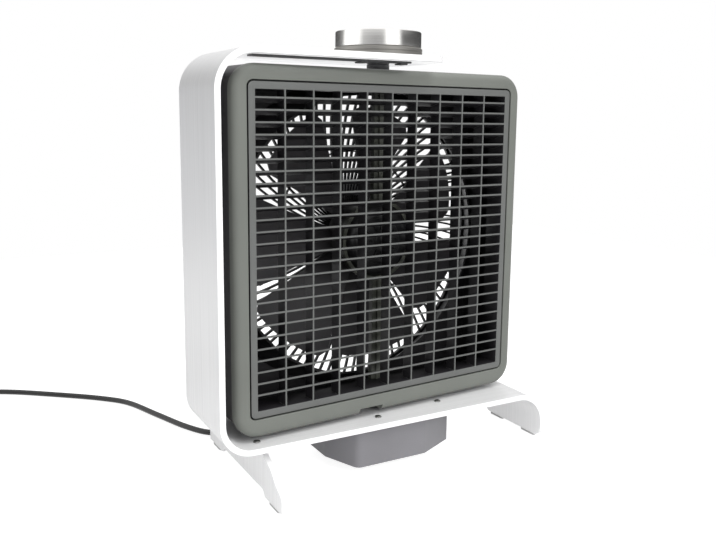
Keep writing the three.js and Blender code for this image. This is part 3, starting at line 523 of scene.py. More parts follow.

# %% [markdown]
# ## Moulded plastics
# The bezel, the slats, the housing and the black small pieces are all moulded, so one
# function makes their finishes from a colour, a paler edge colour and a roughness. The
# grille is a special case. Its front faces are grey, but the flanks of its slats look
# almost black, because little light gets in between them. That shade is painted: a
# second, nearly black colour is used where a face doesn't look to the front, in place
# of an extra lamp or shadow.

# %% Moulded plastics
fan_front = (math.sin(rest_turn), -math.cos(rest_turn), 0.0)


def surface(tree, shader, colour, roughness, height, depth, strength):
    """Feeds a colour, a roughness and a relief to the material's own shader."""
    fill(tree, shader.inputs["Base Color"], colour)
    fill(tree, shader.inputs["Roughness"], roughness)
    relief = add_node(tree, "ShaderNodeBump", Height=height, Distance=depth, Strength=strength)
    fill(tree, shader.inputs["Normal"], relief.outputs[0])


def two_tones(tree, factor, colour, darker, low, high):
    """The colour, drifting down to a slightly darker one."""
    return ramp(tree, factor, [(low, tuple(darker * c for c in colour)), (high, colour)])


def moulded(name, colour, paler, roughness, grain_size=900.0, edge_width=0.0008, inner=None):
    """Satin plastic: grain as bump, slow drift in colour, and edges rubbed paler.
    With an inner colour as painted shade, only the faces to the fan's front keep the first
    colour."""
    look, tree, shader = new_look(name)
    coordinates = add_node(tree, "ShaderNodeTexCoord").outputs
    place = coordinates["Object"]
    grain = place_group(tree, mould_grain, Vector=place, Grain_Size=grain_size)
    rub = place_group(tree, edge_rub, Width=edge_width, Vector=place)
    tone = two_tones(tree, grain["Drift"], colour, 0.9, 0.35, 0.65)
    if inner:
        # painted shade: faces that turn away from the fan's front take the dark inner colour, as
        # if little light reached them
        ahead = likeness(tree, coordinates["Normal"], fan_front)
        tone = mixed_colour(tree, share_between(tree, ahead, 0.45, 0.90), (*inner, 1.0), tone)
    tone = mixed_colour(tree, rub["Mask"], tone, (*paler, 1.0))
    rough = maths(tree, "MULTIPLY_ADD", grain["Height"], 0.12, roughness - 0.08)
    surface(tree, shader, tone, rough, grain["Height"], 0.00002, 0.6)
    return look


bezel_look = moulded("bezel_satin", (0.144, 0.152, 0.137), (0.205, 0.215, 0.20), 0.50)
grille_look = moulded(
    "grille_satin_painted_shade", (0.112, 0.116, 0.112), (0.18, 0.19, 0.18), 0.42,
    # inner is painted shade for the flanks of the slats and bars, where little light gets in
    edge_width=0.0005, inner=(0.016, 0.015, 0.017),
)
shell_look = moulded("shell_charcoal", (0.024, 0.023, 0.025), (0.05, 0.05, 0.05), 0.45)
rotor_look = moulded("rotor_charcoal", (0.042, 0.040, 0.043), (0.07, 0.07, 0.07), 0.42)
# painted light: the strut's colour is paler than its plastic, standing in for light that falls on
# it between the slats
strut_painted_light_look = moulded("strut_painted_light_grey", (0.085, 0.090, 0.075), (0.12, 0.12, 0.11), 0.40)
housing_look = moulded(
    "housing_grey", (0.198, 0.195, 0.208), (0.32, 0.32, 0.33), 0.52, grain_size=700.0,
)
black_look = moulded("black_satin", (0.012, 0.012, 0.013), (0.04, 0.04, 0.04), 0.34)
nylon_look = moulded("gear_nylon", (0.66, 0.63, 0.54), (0.75, 0.72, 0.64), 0.45)
motor_look = moulded(
    "motor_paint", (0.020, 0.020, 0.021), (0.05, 0.05, 0.05), 0.30, grain_size=500.0,
)
rubber_look = moulded(
    "black_rubber", (0.012, 0.012, 0.012), (0.03, 0.03, 0.03), 0.72, grain_size=1300.0,
)
pad_look = moulded("pale_pad", (0.60, 0.60, 0.60), (0.66, 0.66, 0.66), 0.6)
print("materials so far:", len(bpy.data.materials))

# %% [markdown]
# ## Brushed metal
# The plate was brushed along its length, so its lines are very close together across
# the plate and long along it. Noise that is stretched far more along one axis than
# along the others draws just such lines. The plate's surface is dull from its finish,
# so its shader is only partly metallic. The screws' noise is fine in all directions.

# %% Brushed metal
def brushed(name, colour, roughness, stretch, metal=1.0):
    """Metal with fine lines; stretch says how many lines lie along each axis."""
    look, tree, shader = new_look(name)
    place = add_node(tree, "ShaderNodeTexCoord").outputs["Object"]
    stretched = add_node(tree, "ShaderNodeMapping", Vector=place, Scale=stretch)
    lines = place_group(tree, brush_lines, Vector=stretched.outputs[0])
    rub = place_group(tree, edge_rub, Width=0.0006, Vector=place)
    tone = two_tones(tree, lines["Coarse"], colour, 0.92, 0.3, 0.7)
    tone = mixed_colour(tree, rub["Mask"], tone, (0.95, 0.95, 0.95, 1.0))
    rough = maths(tree, "MULTIPLY_ADD", lines["Fine"], 0.16, roughness - 0.08)
    surface(tree, shader, tone, rough, lines["Fine"], 0.00002, 0.5)
    shader.inputs["Metallic"].default_value = metal
    return look


plate_look = brushed(
    "brushed_plate", (0.93, 0.93, 0.935), 0.42, (20.0, 2600.0, 20.0), metal=0.30,
)
steel_look = brushed("zinc_steel", (0.30, 0.30, 0.29), 0.30, (900.0, 900.0, 900.0))
brass_look = brushed("plain_brass", (0.78, 0.60, 0.28), 0.28, (1500.0, 30.0, 1500.0))
print("brushed metals:", [look.name for look in (plate_look, steel_look, brass_look)])

# %% [markdown]
# ## Turned metal
# A lathe leaves fine rings on the top of the knob and level lines round its side. Both
# come from one noise, if it is read by the distance from the knob's axis and by the
# height, and not by x, y and z. A Mapping node first moves the axis to the pivot line.

# %% Turned metal
def turned_metal(name, colour, roughness, fineness=5200.0):
    """Lathe lines: rings on the top, level lines round the side."""
    look, tree, shader = new_look(name)
    place = add_node(tree, "ShaderNodeTexCoord").outputs["Object"]
    centred = add_node(
        tree, "ShaderNodeMapping", Vector=place, Location=(-pivot.x * mm, -pivot.y * mm, 0.0),
    )
    parts = add_node(tree, "ShaderNodeSeparateXYZ", Vector=centred.outputs[0]).outputs
    square = maths(tree, "MULTIPLY", parts["X"], parts["X"])
    square = maths(tree, "MULTIPLY_ADD", parts["Y"], parts["Y"], square)
    across = maths(tree, "MULTIPLY", maths(tree, "SQRT", square), fineness)
    height = maths(tree, "MULTIPLY", parts["Z"], fineness)
    rings = add_node(tree, "ShaderNodeCombineXYZ", X=across, Z=height)
    lines = place_group(tree, brush_lines, Vector=rings.outputs[0])
    tone = two_tones(tree, lines["Coarse"], colour, 0.86, 0.3, 0.7)
    rough = maths(tree, "MULTIPLY_ADD", lines["Fine"], 0.14, roughness - 0.07)
    surface(tree, shader, tone, rough, lines["Fine"], 0.00003, 0.6)
    shader.inputs["Metallic"].default_value = 1.0
    return look


knob_look = turned_metal("turned_knob", (0.88, 0.87, 0.85), 0.20)
knob_base_look = turned_metal("turned_knob_base", (0.34, 0.33, 0.31), 0.48)
print("turned metals:", [look.name for look in (knob_look, knob_base_look)])

# %% [markdown]
# ## Cord sheath
# The sheath is black and smooth, and slightly glossy in patches where it has been
# handled. The mould grain serves here too, with a larger grain and a faster drift,
# which goes into the roughness.

# %% Cord sheath
cord_look, tree, shader = new_look("cord_pvc_black")
place = add_node(tree, "ShaderNodeTexCoord").outputs["Object"]
grain = place_group(tree, mould_grain, Vector=place, Grain_Size=500.0, Drift_Size=40.0)
surface(
    tree, shader, ramp(tree, grain["Drift"], [(0.3, (0.006,) * 3), (0.7, (0.012,) * 3)]),
    maths(tree, "MULTIPLY_ADD", grain["Drift"], 0.2, 0.12), grain["Height"], 0.00001, 0.4,
)
mains_cord.data.materials.append(cord_look)
print("materials:", len(bpy.data.materials))

# %% [markdown]
# ## Outlines
# Every rebuilt piece starts as an outline in millimetres. Nearly all of this object's
# corners are rounded, so an outline is a list of sharp corners, each with a radius.
# One function turns a corner into an arc. It also gives the direction at each point,
# which the bent plate needs later.

# %% Outlines with rounded corners
def arc_at(corner, previous, following, radius, steps):
    """Points of the arc that rounds a corner, each with the direction of travel."""
    before = (previous - corner).normalized()
    after = (following - corner).normalized()
    half = before.angle(after) / 2
    centre = corner + (before + after).normalized() * (radius / math.sin(half))
    start = corner + before * (radius / math.tan(half)) - centre
    sweep = (math.pi - 2 * half) * (1 if before.cross(after) < 0 else -1)
    turns = [Matrix.Rotation(sweep * k / steps, 2) for k in range(steps + 1)]
    return [(centre + turn @ start, turn @ -before) for turn in turns]


def rounded(corners, steps=8):
    """Closed outline through (x, y, radius) corners, each turned into an arc."""
    points = []
    for i, (x, y, radius) in enumerate(corners):
        corner = Vector((x, y))
        if radius == 0:
            points.append(corner)
            continue
        previous = Vector(corners[i - 1][:2])
        following = Vector(corners[(i + 1) % len(corners)][:2])
        points += [p for p, _ in arc_at(corner, previous, following, radius, steps)]
    return points


def rounded_box(half_x, half_z, radius, steps=8):
    """Outline of a box about the origin, with four equal corners."""
    return rounded([
        (-half_x, -half_z, radius), (half_x, -half_z, radius),
        (half_x, half_z, radius), (-half_x, half_z, radius),
    ], steps)


print("points in a rounded box:", len(rounded_box(2, 2, 1)))

# %% [markdown]
# ## Solids from outlines
# There are three ways from an outline to a solid here. A loft lays a skin over a row
# of loops, a prism is a loft of just two, and a turned piece takes a profile round an
# axis. All of them end in the same step, which merges points that coincide and turns
# every face outwards.

# %% Lofts, prisms and turned pieces
def outwards(mesh, merge=0.0):
    """Merges points that lie closer than merge, and turns every face outwards."""
    shape = bmesh.new()
    shape.from_mesh(mesh)
    if merge:
        bmesh.ops.remove_doubles(shape, verts=shape.verts, dist=merge)
    bmesh.ops.recalc_face_normals(shape, faces=shape.faces)
    shape.to_mesh(mesh)
    shape.free()
    return mesh


def mesh_from(points, faces):
    """A clean mesh from points and faces, in millimetres."""
    mesh = bpy.data.meshes.new("drawn")
    mesh.from_pydata([tuple(p) for p in points], [], faces)
    return outwards(mesh, merge=0.0005)


def lofted(loops, closed=False):
    """Skin over loops of 3-D points with equal counts; closed joins the last to the first."""
    count = len(loops[0])
    points = [p for loop in loops for p in loop]
    faces = []
    rounds = len(loops) if closed else len(loops) - 1
    for i in range(rounds):
        a, b = i * count, (i + 1) % len(loops) * count
        for k in range(count):
            n = (k + 1) % count
            faces.append((a + k, a + n, b + n, b + k))
    if not closed:
        faces.append(tuple(range(count))[::-1])
        faces.append(tuple(range(len(points) - count, len(points))))
    return mesh_from(points, faces)


def prism(outline, low, high, axis="Z"):
    """The outline, drawn out along an axis from low to high."""
    spread = {
        "X": lambda p, t: (t, p[0], p[1]),
        "Y": lambda p, t: (p[0], t, p[1]),
        "Z": lambda p, t: (p[0], p[1], t),
    }[axis]
    return lofted([[spread(p, level) for p in outline] for level in (low, high)])


def block(half_x, low_y, high_y, low_z, high_z):
    """A plain block that reaches equally far to both sides."""
    outline = [(-half_x, low_y), (half_x, low_y), (half_x, high_y), (-half_x, high_y)]
    return prism(outline, low_z, high_z)


def turned(profile, axis="Z", sides=96, centre=(0.0, 0.0)):
    """Turned piece: a profile of (radius, height) goes round an axis and closes on it."""
    points, faces = [], []
    for k in range(sides):
        angle = 2 * math.pi * k / sides
        for radius, height in profile:
            u = radius * math.cos(angle) + centre[0]
            v = radius * math.sin(angle) + centre[1]
            points.append((u, v, height) if axis == "Z" else (u, height, v))
    count = len(profile)
    for k in range(sides):
        a, b = k * count, (k + 1) % sides * count
        for i in range(count - 1):
            faces.append((a + i, b + i, b + i + 1, a + i + 1))
        if profile[0][0] > 0:
            faces.append((a + count - 1, b + count - 1, b, a))
    return mesh_from(points, faces)


def joined(meshes):
    """Several meshes as one."""
    shape = bmesh.new()
    for mesh in meshes:
        shape.from_mesh(mesh)
    made = bpy.data.meshes.new("joined")
    shape.to_mesh(made)
    shape.free()
    return made


pin = turned([(0, 0), (1, 0), (1, 1), (0, 1)], sides=12)
print("a turned pin has", len(pin.polygons), "faces")
bpy.data.meshes.remove(pin)

# %% [markdown]
# ## Placing and finishing a piece
# Every rebuilt piece then goes through the same steps: move the mesh itself, never the
# object, into the frame, give it its material, hang it on the body it rides on, and hide
# the plain solid it stands for. Hanging it on its body is what keeps the piece with that
# body when a joint moves. Sharp edges can be broken with a small bevel, as a file or a mould
# does.

# %% Placing, softening, copying and cutting
def placed(name, mesh, place, look, body, node, sharp=32):
    """Moves a finished mesh into the frame, gives it its finish and body, and hides the plain
    solid that it stands for.
    """
    mesh.name = name
    mesh.transform(place)
    mesh.materials.clear()
    mesh.materials.append(look)
    mesh.shade_smooth()
    mesh.set_sharp_from_angle(angle=math.radians(sharp))
    piece = added(name, mesh)
    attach(piece, body)
    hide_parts(node)
    print(name, "rides on", body, "with", len(mesh.polygons), "faces")
    return piece


def soften(piece, width, segments=2, degrees=32):
    """Breaks the sharp edges with a small bevel."""
    bevel = piece.modifiers.new("soft_edges", "BEVEL")
    bevel.width = width * mm
    bevel.segments = segments
    bevel.limit_method = "ANGLE"
    bevel.angle_limit = math.radians(degrees)
    bevel.harden_normals = True


def plain_copy(node):
    """Copy of a plain solid, its loose triangles merged back into flat faces."""
    mesh = frame["nodes"][node].data.copy()
    if "custom_normal" in mesh.attributes:
        mesh.attributes.remove(mesh.attributes["custom_normal"])
    shape = bmesh.new()
    shape.from_mesh(mesh)
    bmesh.ops.remove_doubles(shape, verts=shape.verts, dist=2e-6)
    bmesh.ops.dissolve_limit(
        shape, angle_limit=math.radians(0.8), verts=shape.verts, edges=shape.edges,
    )
    shape.to_mesh(mesh)
    shape.free()
    return mesh


def evaluated_mesh(holder):
    """The object's mesh after its modifiers, as a plain mesh."""
    view = bpy.context.evaluated_depsgraph_get()
    return bpy.data.meshes.new_from_object(holder.evaluated_get(view))


def cut_away(piece, cutter_mesh):
    """Cuts a mesh out of a piece and keeps the result as a plain mesh."""
    cutter = added("cutter", cutter_mesh)
    cut = piece.modifiers.new("cut", "BOOLEAN")
    cut.operation = "DIFFERENCE"
    cut.solver = "EXACT"
    cut.object = cutter
    result = evaluated_mesh(piece)
    piece.modifiers.remove(cut)
    piece.data = result
    bpy.data.objects.remove(cutter)
    print(piece.name, "is cut, and has", len(result.polygons), "faces")


# %% [markdown]
# ## The bent plate
# The stand is one strip of plate, 108 mm wide and 6 mm thick, bent three times: over
# the fan, under it, and down into the right foot. A strip is best made by walking its
# centre line: at each station stand four points, two on either face, and the width
# narrows near the ends where the corners were rounded before bending. It could also
# be a bent extrusion, but the walk keeps the thickness true through every bend.

# %% Stations along the plate
plate_thick = 6.0
plate_half_depth = 54.0
plate_path = [  # x, z, bend radius at the middle of the thickness
    (55.0, 192.0, 0.0), (-196.0, 192.0, 37.0), (-196.0, -192.5, 31.5),
    (204.0, -192.5, 36.0), (204.0, -246.7, 0.0),
]
top_end_radius, foot_end_radius = 20.0, 12.0


def walk(path, bend_steps=20):
    """Places and directions along a path whose corners are bent to a radius."""
    corners = [Vector((x, z)) for x, z, _ in path]
    stations = [(corners[0], (corners[1] - corners[0]).normalized())]
    for i in range(1, len(path) - 1):
        stations += arc_at(corners[i], corners[i - 1], corners[i + 1], path[i][2], bend_steps)
    stations.append((corners[-1], (corners[-1] - corners[-2]).normalized()))
    return stations


def rounded_end(place, outward, radius, steps=7):
    """Extra stations in a rounded end, counted inwards from the very end."""
    made = []
    for k in range(steps + 1):
        angle = math.pi / 2 * k / steps
        back = radius * (1 - math.cos(angle))
        width = plate_half_depth - radius + radius * math.sin(angle)
        made.append((place - outward * back, width))
    return made


stations = walk(plate_path)
(top_end, top_along), (foot_end, foot_along) = stations[0], stations[-1]
strip = [(p, top_along, w) for p, w in rounded_end(top_end, -top_along, top_end_radius)]
strip += [(p, along, plate_half_depth) for p, along in stations[1:-1]]
foot_strip = rounded_end(foot_end, foot_along, foot_end_radius)
strip += [(p, foot_along, w) for p, w in reversed(foot_strip)]
print("plate stations:", len(strip))

# %% Plate with its holes
loops = []
for place, along, width in strip:
    side = Vector((-along.y, along.x)) * plate_thick / 2
    outer, inner = place - side, place + side
    loops.append([
        (outer.x, -width, outer.y), (outer.x, width, outer.y),
        (inner.x, width, inner.y), (inner.x, -width, inner.y),
    ])
stand_plate = placed(
    "stand_plate", lofted(loops), stand_place, plate_look,
    "stand", "c_frame",
)
base_screws = [(-155.4, -37), (-155.4, 37), (-14.2, -35), (70.5, -24.4), (-53, 36), (76, 36)]
pivot_bore, screw_bore = 8.3, 2.3


def drill(radius, low, high, sides, centre=(0.0, 0.0)):
    """What a drill takes away between two heights."""
    return turned([(0, low), (radius, low), (radius, high), (0, high)], "Z", sides, centre)


drills = [drill(pivot_bore, -200, -185, 48), drill(pivot_bore, 185, 198, 48)]
drills += [drill(screw_bore, -200, -185, 20, centre) for centre in base_screws]
all_drills = joined(drills)
all_drills.transform(stand_place)
cut_away(stand_plate, all_drills)
soften(stand_plate, 0.45, segments=3, degrees=50)
print("holes in the plate:", len(drills))

# %% [markdown]
# ## The left foot
# A second piece of the same plate stands on edge under the left of the stand. Its front
# runs down in a shallow S from the plate to a blunt toe, and a low arch leaves it
# standing on its two toes. It is cut from flat plate, so it is a prism of its side
# outline, with the cut edge lightly broken. A narrow flange joins it to the base.

# %% Left foot
foot_outline = rounded([
    (-86, -246.7, 1), (-43, -246.7, 3), (-37, -240.7, 5), (77, -240.7, 5), (83, -246.7, 3),
    (126, -246.7, 1), (126, -231, 7), (104, -221.5, 30), (76, -201.5, 18), (65, -195.8, 0),
    (-25, -195.8, 0), (-37, -202.6, 20), (-60, -212, 30), (-71, -222.5, 20), (-86, -231, 7),
], 6)
flange_outline = rounded([(-165, -45, 4), (-149.8, -45, 0), (-149.8, 45, 0), (-165, 45, 4)])
foot_meshes = [
    prism(foot_outline, -150, -144, "X"), prism(flange_outline, -199.8, -195.8),
]
left_foot_plate = placed(
    "left_foot_plate", joined(foot_meshes), stand_place, plate_look,
    "stand", "left_foot",
)
soften(left_foot_plate, 0.45, segments=2, degrees=40)

# %% [markdown]
# ## Knob and its ring
# The knob is a turned aluminium cap over a slightly wider, darker ring. A turned piece
# is a profile taken round an axis, so the little chamfers, the shallow groove at the
# knob's rim and the groove round the ring are simply drawn in the profile.

# %% Knob
knob_low, knob_top, knob_radius = 203.6, 220.1, 45.3
knob_cap = turned([
    (41.8, knob_low), (44.7, knob_low), (knob_radius, knob_low + 0.6),
    (knob_radius, knob_top - 1.1), (45.1, knob_top - 0.5), (44.6, knob_top - 0.12),
    (44.0, knob_top), (41.4, knob_top), (41.1, knob_top - 0.35), (40.7, knob_top - 0.35),
    (40.4, knob_top), (0.0, knob_top), (0.0, knob_top - 3.5), (41.8, knob_top - 3.5),
    (41.8, knob_low),
], sides=144)
knob_post = turned([(3.3, 212.0), (7.0, 212.0), (7.0, 215.6), (3.3, 215.6)], sides=32)
placed(
    "knob", joined([knob_cap, knob_post]), stand_place, knob_look,
    "knob", "control_knob", sharp=25,
)

# %% Ring under the knob
ring_low, ring_top, ring_radius = 195.3, 203.3, 46.5
knob_ring = turned([
    (7.0, ring_low), (45.7, ring_low), (ring_radius, ring_low + 0.8), (ring_radius, 198.9),
    (46.0, 199.2), (46.0, 199.6), (ring_radius, 199.9), (ring_radius, ring_top - 0.8),
    (45.8, ring_top), (0.0, ring_top), (0.0, 198.0), (7.0, 198.0), (7.0, ring_low),
], sides=144)
placed(
    "knob_ring", knob_ring, stand_place, knob_base_look,
    "stand", "knob_base", sharp=25,
)

# %% [markdown]
# ## Repeating pieces with Geometry Nodes
# The grille has twenty-six slats and nine bars, the outlet eighty-eight ribs, and the
# rotor seven blades. Drawing one and repeating it by rule is what Geometry Nodes do
# best. Three small trees are enough: one sweeps a section and repeats it in steps, one
# repeats a piece round an axis, and one draws a ring of leaning ribs. Each result is
# kept as a plain mesh, so nothing is left that could change later.

# %% Tree helpers
WHOLE, MATERIAL = "NodeSocketInt", "NodeSocketMaterial"


def new_tree(name, inputs):
    """A new tree with its inputs, and one mesh in and out."""
    tree = bpy.data.node_groups.new(name, "GeometryNodeTree")
    shape = "NodeSocketGeometry"
    tree.interface.new_socket("Geometry", in_out="INPUT", socket_type=shape)
    for label, kind, value in inputs + [("Material", MATERIAL, None)]:
        socket = tree.interface.new_socket(label, in_out="INPUT", socket_type=kind)
        if value is not None:
            socket.default_value = value
    tree.interface.new_socket("Geometry", in_out="OUTPUT", socket_type=shape)
    return tree, tree.nodes.new("NodeGroupInput").outputs


def copies_round(tree, piece, count, axis, sense=1.0, first=0.0):
    """Copies of a piece, turned evenly round an axis from a first angle."""
    spots = add_node(
        tree, "GeometryNodeMeshLine", {"mode": "OFFSET"}, Count=count, Offset=(0, 0, 0),
    )
    number = tree.nodes.new("GeometryNodeInputIndex").outputs[0]
    share = maths(tree, "DIVIDE", 2 * math.pi, count)
    angle = maths(tree, "MULTIPLY_ADD", number, share, first)
    turn = add_node(tree, "ShaderNodeCombineXYZ", **{axis: maths(tree, "MULTIPLY", angle, sense)})
    return add_node(
        tree, "GeometryNodeInstanceOnPoints", Points=spots.outputs[0], Instance=piece,
        Rotation=turn.outputs[0],
    ).outputs[0]


def finish_tree(tree, given, geometry):
    """Every tree ends the same way: real meshes, and one material."""
    real = add_node(tree, "GeometryNodeRealizeInstances", Geometry=geometry).outputs[0]
    shown = add_node(
        tree, "GeometryNodeSetMaterial", Geometry=real, Material=given["Material"],
    )
    result = tree.nodes.new("NodeGroupOutput").inputs
    fill(tree, result["Geometry"], shown.outputs[0])
    print("tree", tree.name, "has", len(tree.nodes), "nodes")


def grown(name, tree, values, start=None):
    """Runs a tree on a starting mesh and keeps its result as a plain mesh."""
    holder = added(name, start or bpy.data.meshes.new(name))
    modifier = holder.modifiers.new(name, "NODES")
    modifier.node_group = tree
    for socket in tree.interface.items_tree:
        if socket.in_out == "INPUT" and socket.name in values:
            modifier[socket.identifier] = values[socket.name]
    mesh = outwards(evaluated_mesh(holder))
    bpy.data.objects.remove(holder)
    print(name, "has", len(mesh.polygons), "faces")
    return mesh


# %% Tree that sweeps a section and repeats it
bar_tree, given = new_tree("swept_bars", [
    ("Run", VECTOR, (1, 0, 0)), ("Count", WHOLE, 1), ("Start", VECTOR, (0, 0, 0)),
    ("Step", VECTOR, (0, 0, 1)),
])
swept = add_node(
    bar_tree, "GeometryNodeExtrudeMesh", {"mode": "FACES"}, Mesh=given["Geometry"],
    Offset=given["Run"], Offset_Scale=1.0, Individual=False,
)
near_end = add_node(bar_tree, "GeometryNodeFlipFaces", Mesh=given["Geometry"])
both = bar_tree.nodes.new("GeometryNodeJoinGeometry")
fill(bar_tree, both.inputs[0], swept.outputs["Mesh"])
fill(bar_tree, both.inputs[0], near_end.outputs[0])
whole_bar = add_node(
    bar_tree, "GeometryNodeMergeByDistance", Geometry=both.outputs[0], Distance=0.001,
)
row = add_node(
    bar_tree, "GeometryNodeMeshLine", {"mode": "OFFSET"}, Count=given["Count"],
    Start_Location=given["Start"], Offset=given["Step"],
)
all_bars = add_node(
    bar_tree, "GeometryNodeInstanceOnPoints", Points=row.outputs[0],
    Instance=whole_bar.outputs[0],
)
finish_tree(bar_tree, given, all_bars.outputs[0])

# %% Tree that repeats a piece round the fan's axis
ring_tree, given = new_tree("round_the_axis", [
    ("Count", WHOLE, 1), ("First Angle", NUMBER, 0.0),
])
finish_tree(ring_tree, given, copies_round(
    ring_tree, given["Geometry"], given["Count"], "Y", -1.0, given["First Angle"],
))

# %% Tree that draws a ring of leaning ribs
rib_tree, given = new_tree("leaning_ribs", [
    ("Count", WHOLE, 90), ("Inner Radius", NUMBER, 24.0), ("Outer Radius", NUMBER, 144.0),
    ("Lean", NUMBER, 0.6), ("Width", NUMBER, 1.6), ("Depth", NUMBER, 3.0),
    ("Middle", NUMBER, 0.0),
])
line = add_node(rib_tree, "GeometryNodeCurvePrimitiveLine", Start=(0, 0, 0), End=(1, 0, 0))
fine_line = add_node(rib_tree, "GeometryNodeResampleCurve", Curve=line.outputs[0], Count=12)
along_rib = rib_tree.nodes.new("GeometryNodeSplineParameter").outputs["Factor"]
reach = maths(rib_tree, "SUBTRACT", given["Outer Radius"], given["Inner Radius"])
radius = maths(rib_tree, "MULTIPLY_ADD", along_rib, reach, given["Inner Radius"])
lean = maths(rib_tree, "MULTIPLY", along_rib, given["Lean"])
spot = add_node(
    rib_tree, "ShaderNodeCombineXYZ",
    X=maths(rib_tree, "MULTIPLY", radius, maths(rib_tree, "COSINE", lean)),
    Y=maths(rib_tree, "MULTIPLY", radius, maths(rib_tree, "SINE", lean)),
)
curved = add_node(
    rib_tree, "GeometryNodeSetPosition", Geometry=fine_line.outputs[0],
    Position=spot.outputs[0],
)
level = add_node(
    rib_tree, "GeometryNodeSetCurveNormal", {"mode": "Z_UP"}, Curve=curved.outputs[0],
)
section = add_node(
    rib_tree, "GeometryNodeCurvePrimitiveQuadrilateral", {"mode": "RECTANGLE"},
    Width=given["Width"], Height=given["Depth"],
)
rib = add_node(
    rib_tree, "GeometryNodeCurveToMesh", Curve=level.outputs[0],
    Profile_Curve=section.outputs[0], Fill_Caps=True,
)
flat_ring = copies_round(rib_tree, rib.outputs[0], given["Count"], "Z")
back = add_node(rib_tree, "ShaderNodeCombineXYZ", Y=given["Middle"])
upright = add_node(
    rib_tree, "GeometryNodeTransform", Geometry=flat_ring, Translation=back.outputs[0],
    Rotation=(math.pi / 2, 0, 0),
)
finish_tree(rib_tree, given, upright.outputs[0])

# %% [markdown]
# ## Bezel
# The bezel is a rounded square frame whose outer edge rolls over in a 7 mm quarter
# round. Laying loops of the same count from the back edge, round the roll, across the
# face and down into the seam gives a clean skin in one pass, where a bevelled block
# would pinch at the corners. A notch in its lower edge leaves room for the pivot.

# %% Bezel
box_x, box_round = 180.0, 25.0
box_top, box_foot = 181.0, -185.0
box_z, box_middle = (box_top - box_foot) / 2, (box_top + box_foot) / 2
bezel_front, bezel_rear = -29.0, -17.0
edge_round = 7.0
roll_steps = 8
seam_half, seam_gap = 165.0, 0.8


def loop_at(half_x, half_z, radius, y, middle=0.0):
    """A rounded rectangle that stands upright at depth y."""
    return [(p.x, y, p.y + middle) for p in rounded_box(half_x, half_z, radius)]


bezel_loops = [loop_at(box_x, box_z, box_round, bezel_rear, box_middle)]
for k in range(roll_steps + 1):
    angle = math.pi / 2 * k / roll_steps
    inset = edge_round * (1 - math.cos(angle))
    depth = bezel_front + edge_round - edge_round * math.sin(angle)
    bezel_loops.append(
        loop_at(box_x - inset, box_z - inset, box_round - inset, depth, box_middle)
    )
for gap, depth in (
    (1.5, bezel_front), (1.15, bezel_front + 0.1), (0.8, bezel_front + 0.5), (0.8, bezel_rear),
):
    bezel_loops.append(loop_at(seam_half + gap, seam_half + gap, 6.0 + gap, depth))
bezel = placed(
    "bezel", lofted(bezel_loops, closed=True), fan_place, bezel_look,
    "fan_head", "front_bezel", sharp=40,
)
notch = prism([(-36.6, -190), (-7.5, -190), (-7.5, -178.3), (-36.6, -178.3)], -40, -10, "Y")
notch.transform(fan_place)
cut_away(bezel, notch)

# %% [markdown]
# ## Front grille
# The grille is one moulding: a frame that sits in the bezel, slats that slope down
# towards the back, and thin upright bars. Each slat has a softly rounded front, which
# catches a line of light. The slats and bars are sections, swept by the first tree and
# repeated in even steps, and their ends run half a millimetre into the frame.

# %% Grille frame
grille_front, bar_rear = -28.5, -13.5
flange_front, frame_rear = -16.7, -4.0
frame_wall, rear_wall = 7.2, 2.2
frame_half = seam_half - seam_gap
open_half = frame_half - frame_wall
flange_half = seam_half + 4
grille_frame = lofted([loop_at(half, half, radius, depth) for half, radius, depth in (
    (frame_half, 5.2, flange_front), (frame_half, 5.2, grille_front + 0.5),
    (frame_half - 0.15, 5.1, grille_front + 0.15), (frame_half - 0.5, 4.8, grille_front),
    (open_half + 0.5, 1.0, grille_front), (open_half + 0.15, 0.8, grille_front + 0.15),
    (open_half, 0.6, grille_front + 0.5), (open_half, 0.6, frame_rear),
    (open_half + rear_wall, 2.8, frame_rear), (open_half + rear_wall, 2.8, bar_rear),
    (flange_half, 10.0, bar_rear), (flange_half, 10.0, flange_front),
)], closed=True)
print("grille frame has", len(grille_frame.polygons), "faces")

# %% Slats and bars
slat_count, slat_step, first_slat = 26, 11.616, 149.3
slat_front, slat_depth = grille_front + 0.3, 14.5
bar_count = 9
bar_step = 2 * open_half / (bar_count + 1)
sunk = 0.5  # how far each end runs into the frame
slat_section = mesh_from([(-open_half - sunk, slat_front + y, z) for y, z in (
    (0.6, -1.1), (slat_depth, -5.0), (slat_depth, -3.9), (0.6, 1.1),
    (0.15, 0.75), (0.0, 0.3), (0.0, -0.3), (0.15, -0.75),
)], [tuple(range(8))])
slats = grown("slats", bar_tree, {
    "Run": (2 * (open_half + sunk), 0, 0), "Count": slat_count, "Start": (0, 0, first_slat),
    "Step": (0, 0, -slat_step), "Material": grille_look,
}, slat_section)
bar_section = mesh_from([
    (-0.6, grille_front, 0), (-1.0, grille_front + 0.4, 0), (-1.0, bar_rear, 0),
    (1.0, bar_rear, 0), (1.0, grille_front + 0.4, 0), (0.6, grille_front, 0),
], [tuple(range(6))])
bars = grown("bars", bar_tree, {
    "Run": (0, 0, 2 * (open_half + sunk)), "Count": bar_count,
    "Start": (-open_half + bar_step, 0, -open_half - sunk),
    "Step": (bar_step, 0, 0), "Material": grille_look,
}, bar_section)
placed(
    "slatted_grille", joined([grille_frame, slats, bars]), fan_place, grille_look,
    "fan_head", "front_grille", sharp=25,
)

# %% [markdown]
# ## Shell
# The shell behind the bezel is a plain box with a round duct in its back. Its plain
# solid already has the right shape, so a copy of it is merged, its edges are rounded a
# little, and it gets the charcoal finish. Drawing it again would only risk a mistake.

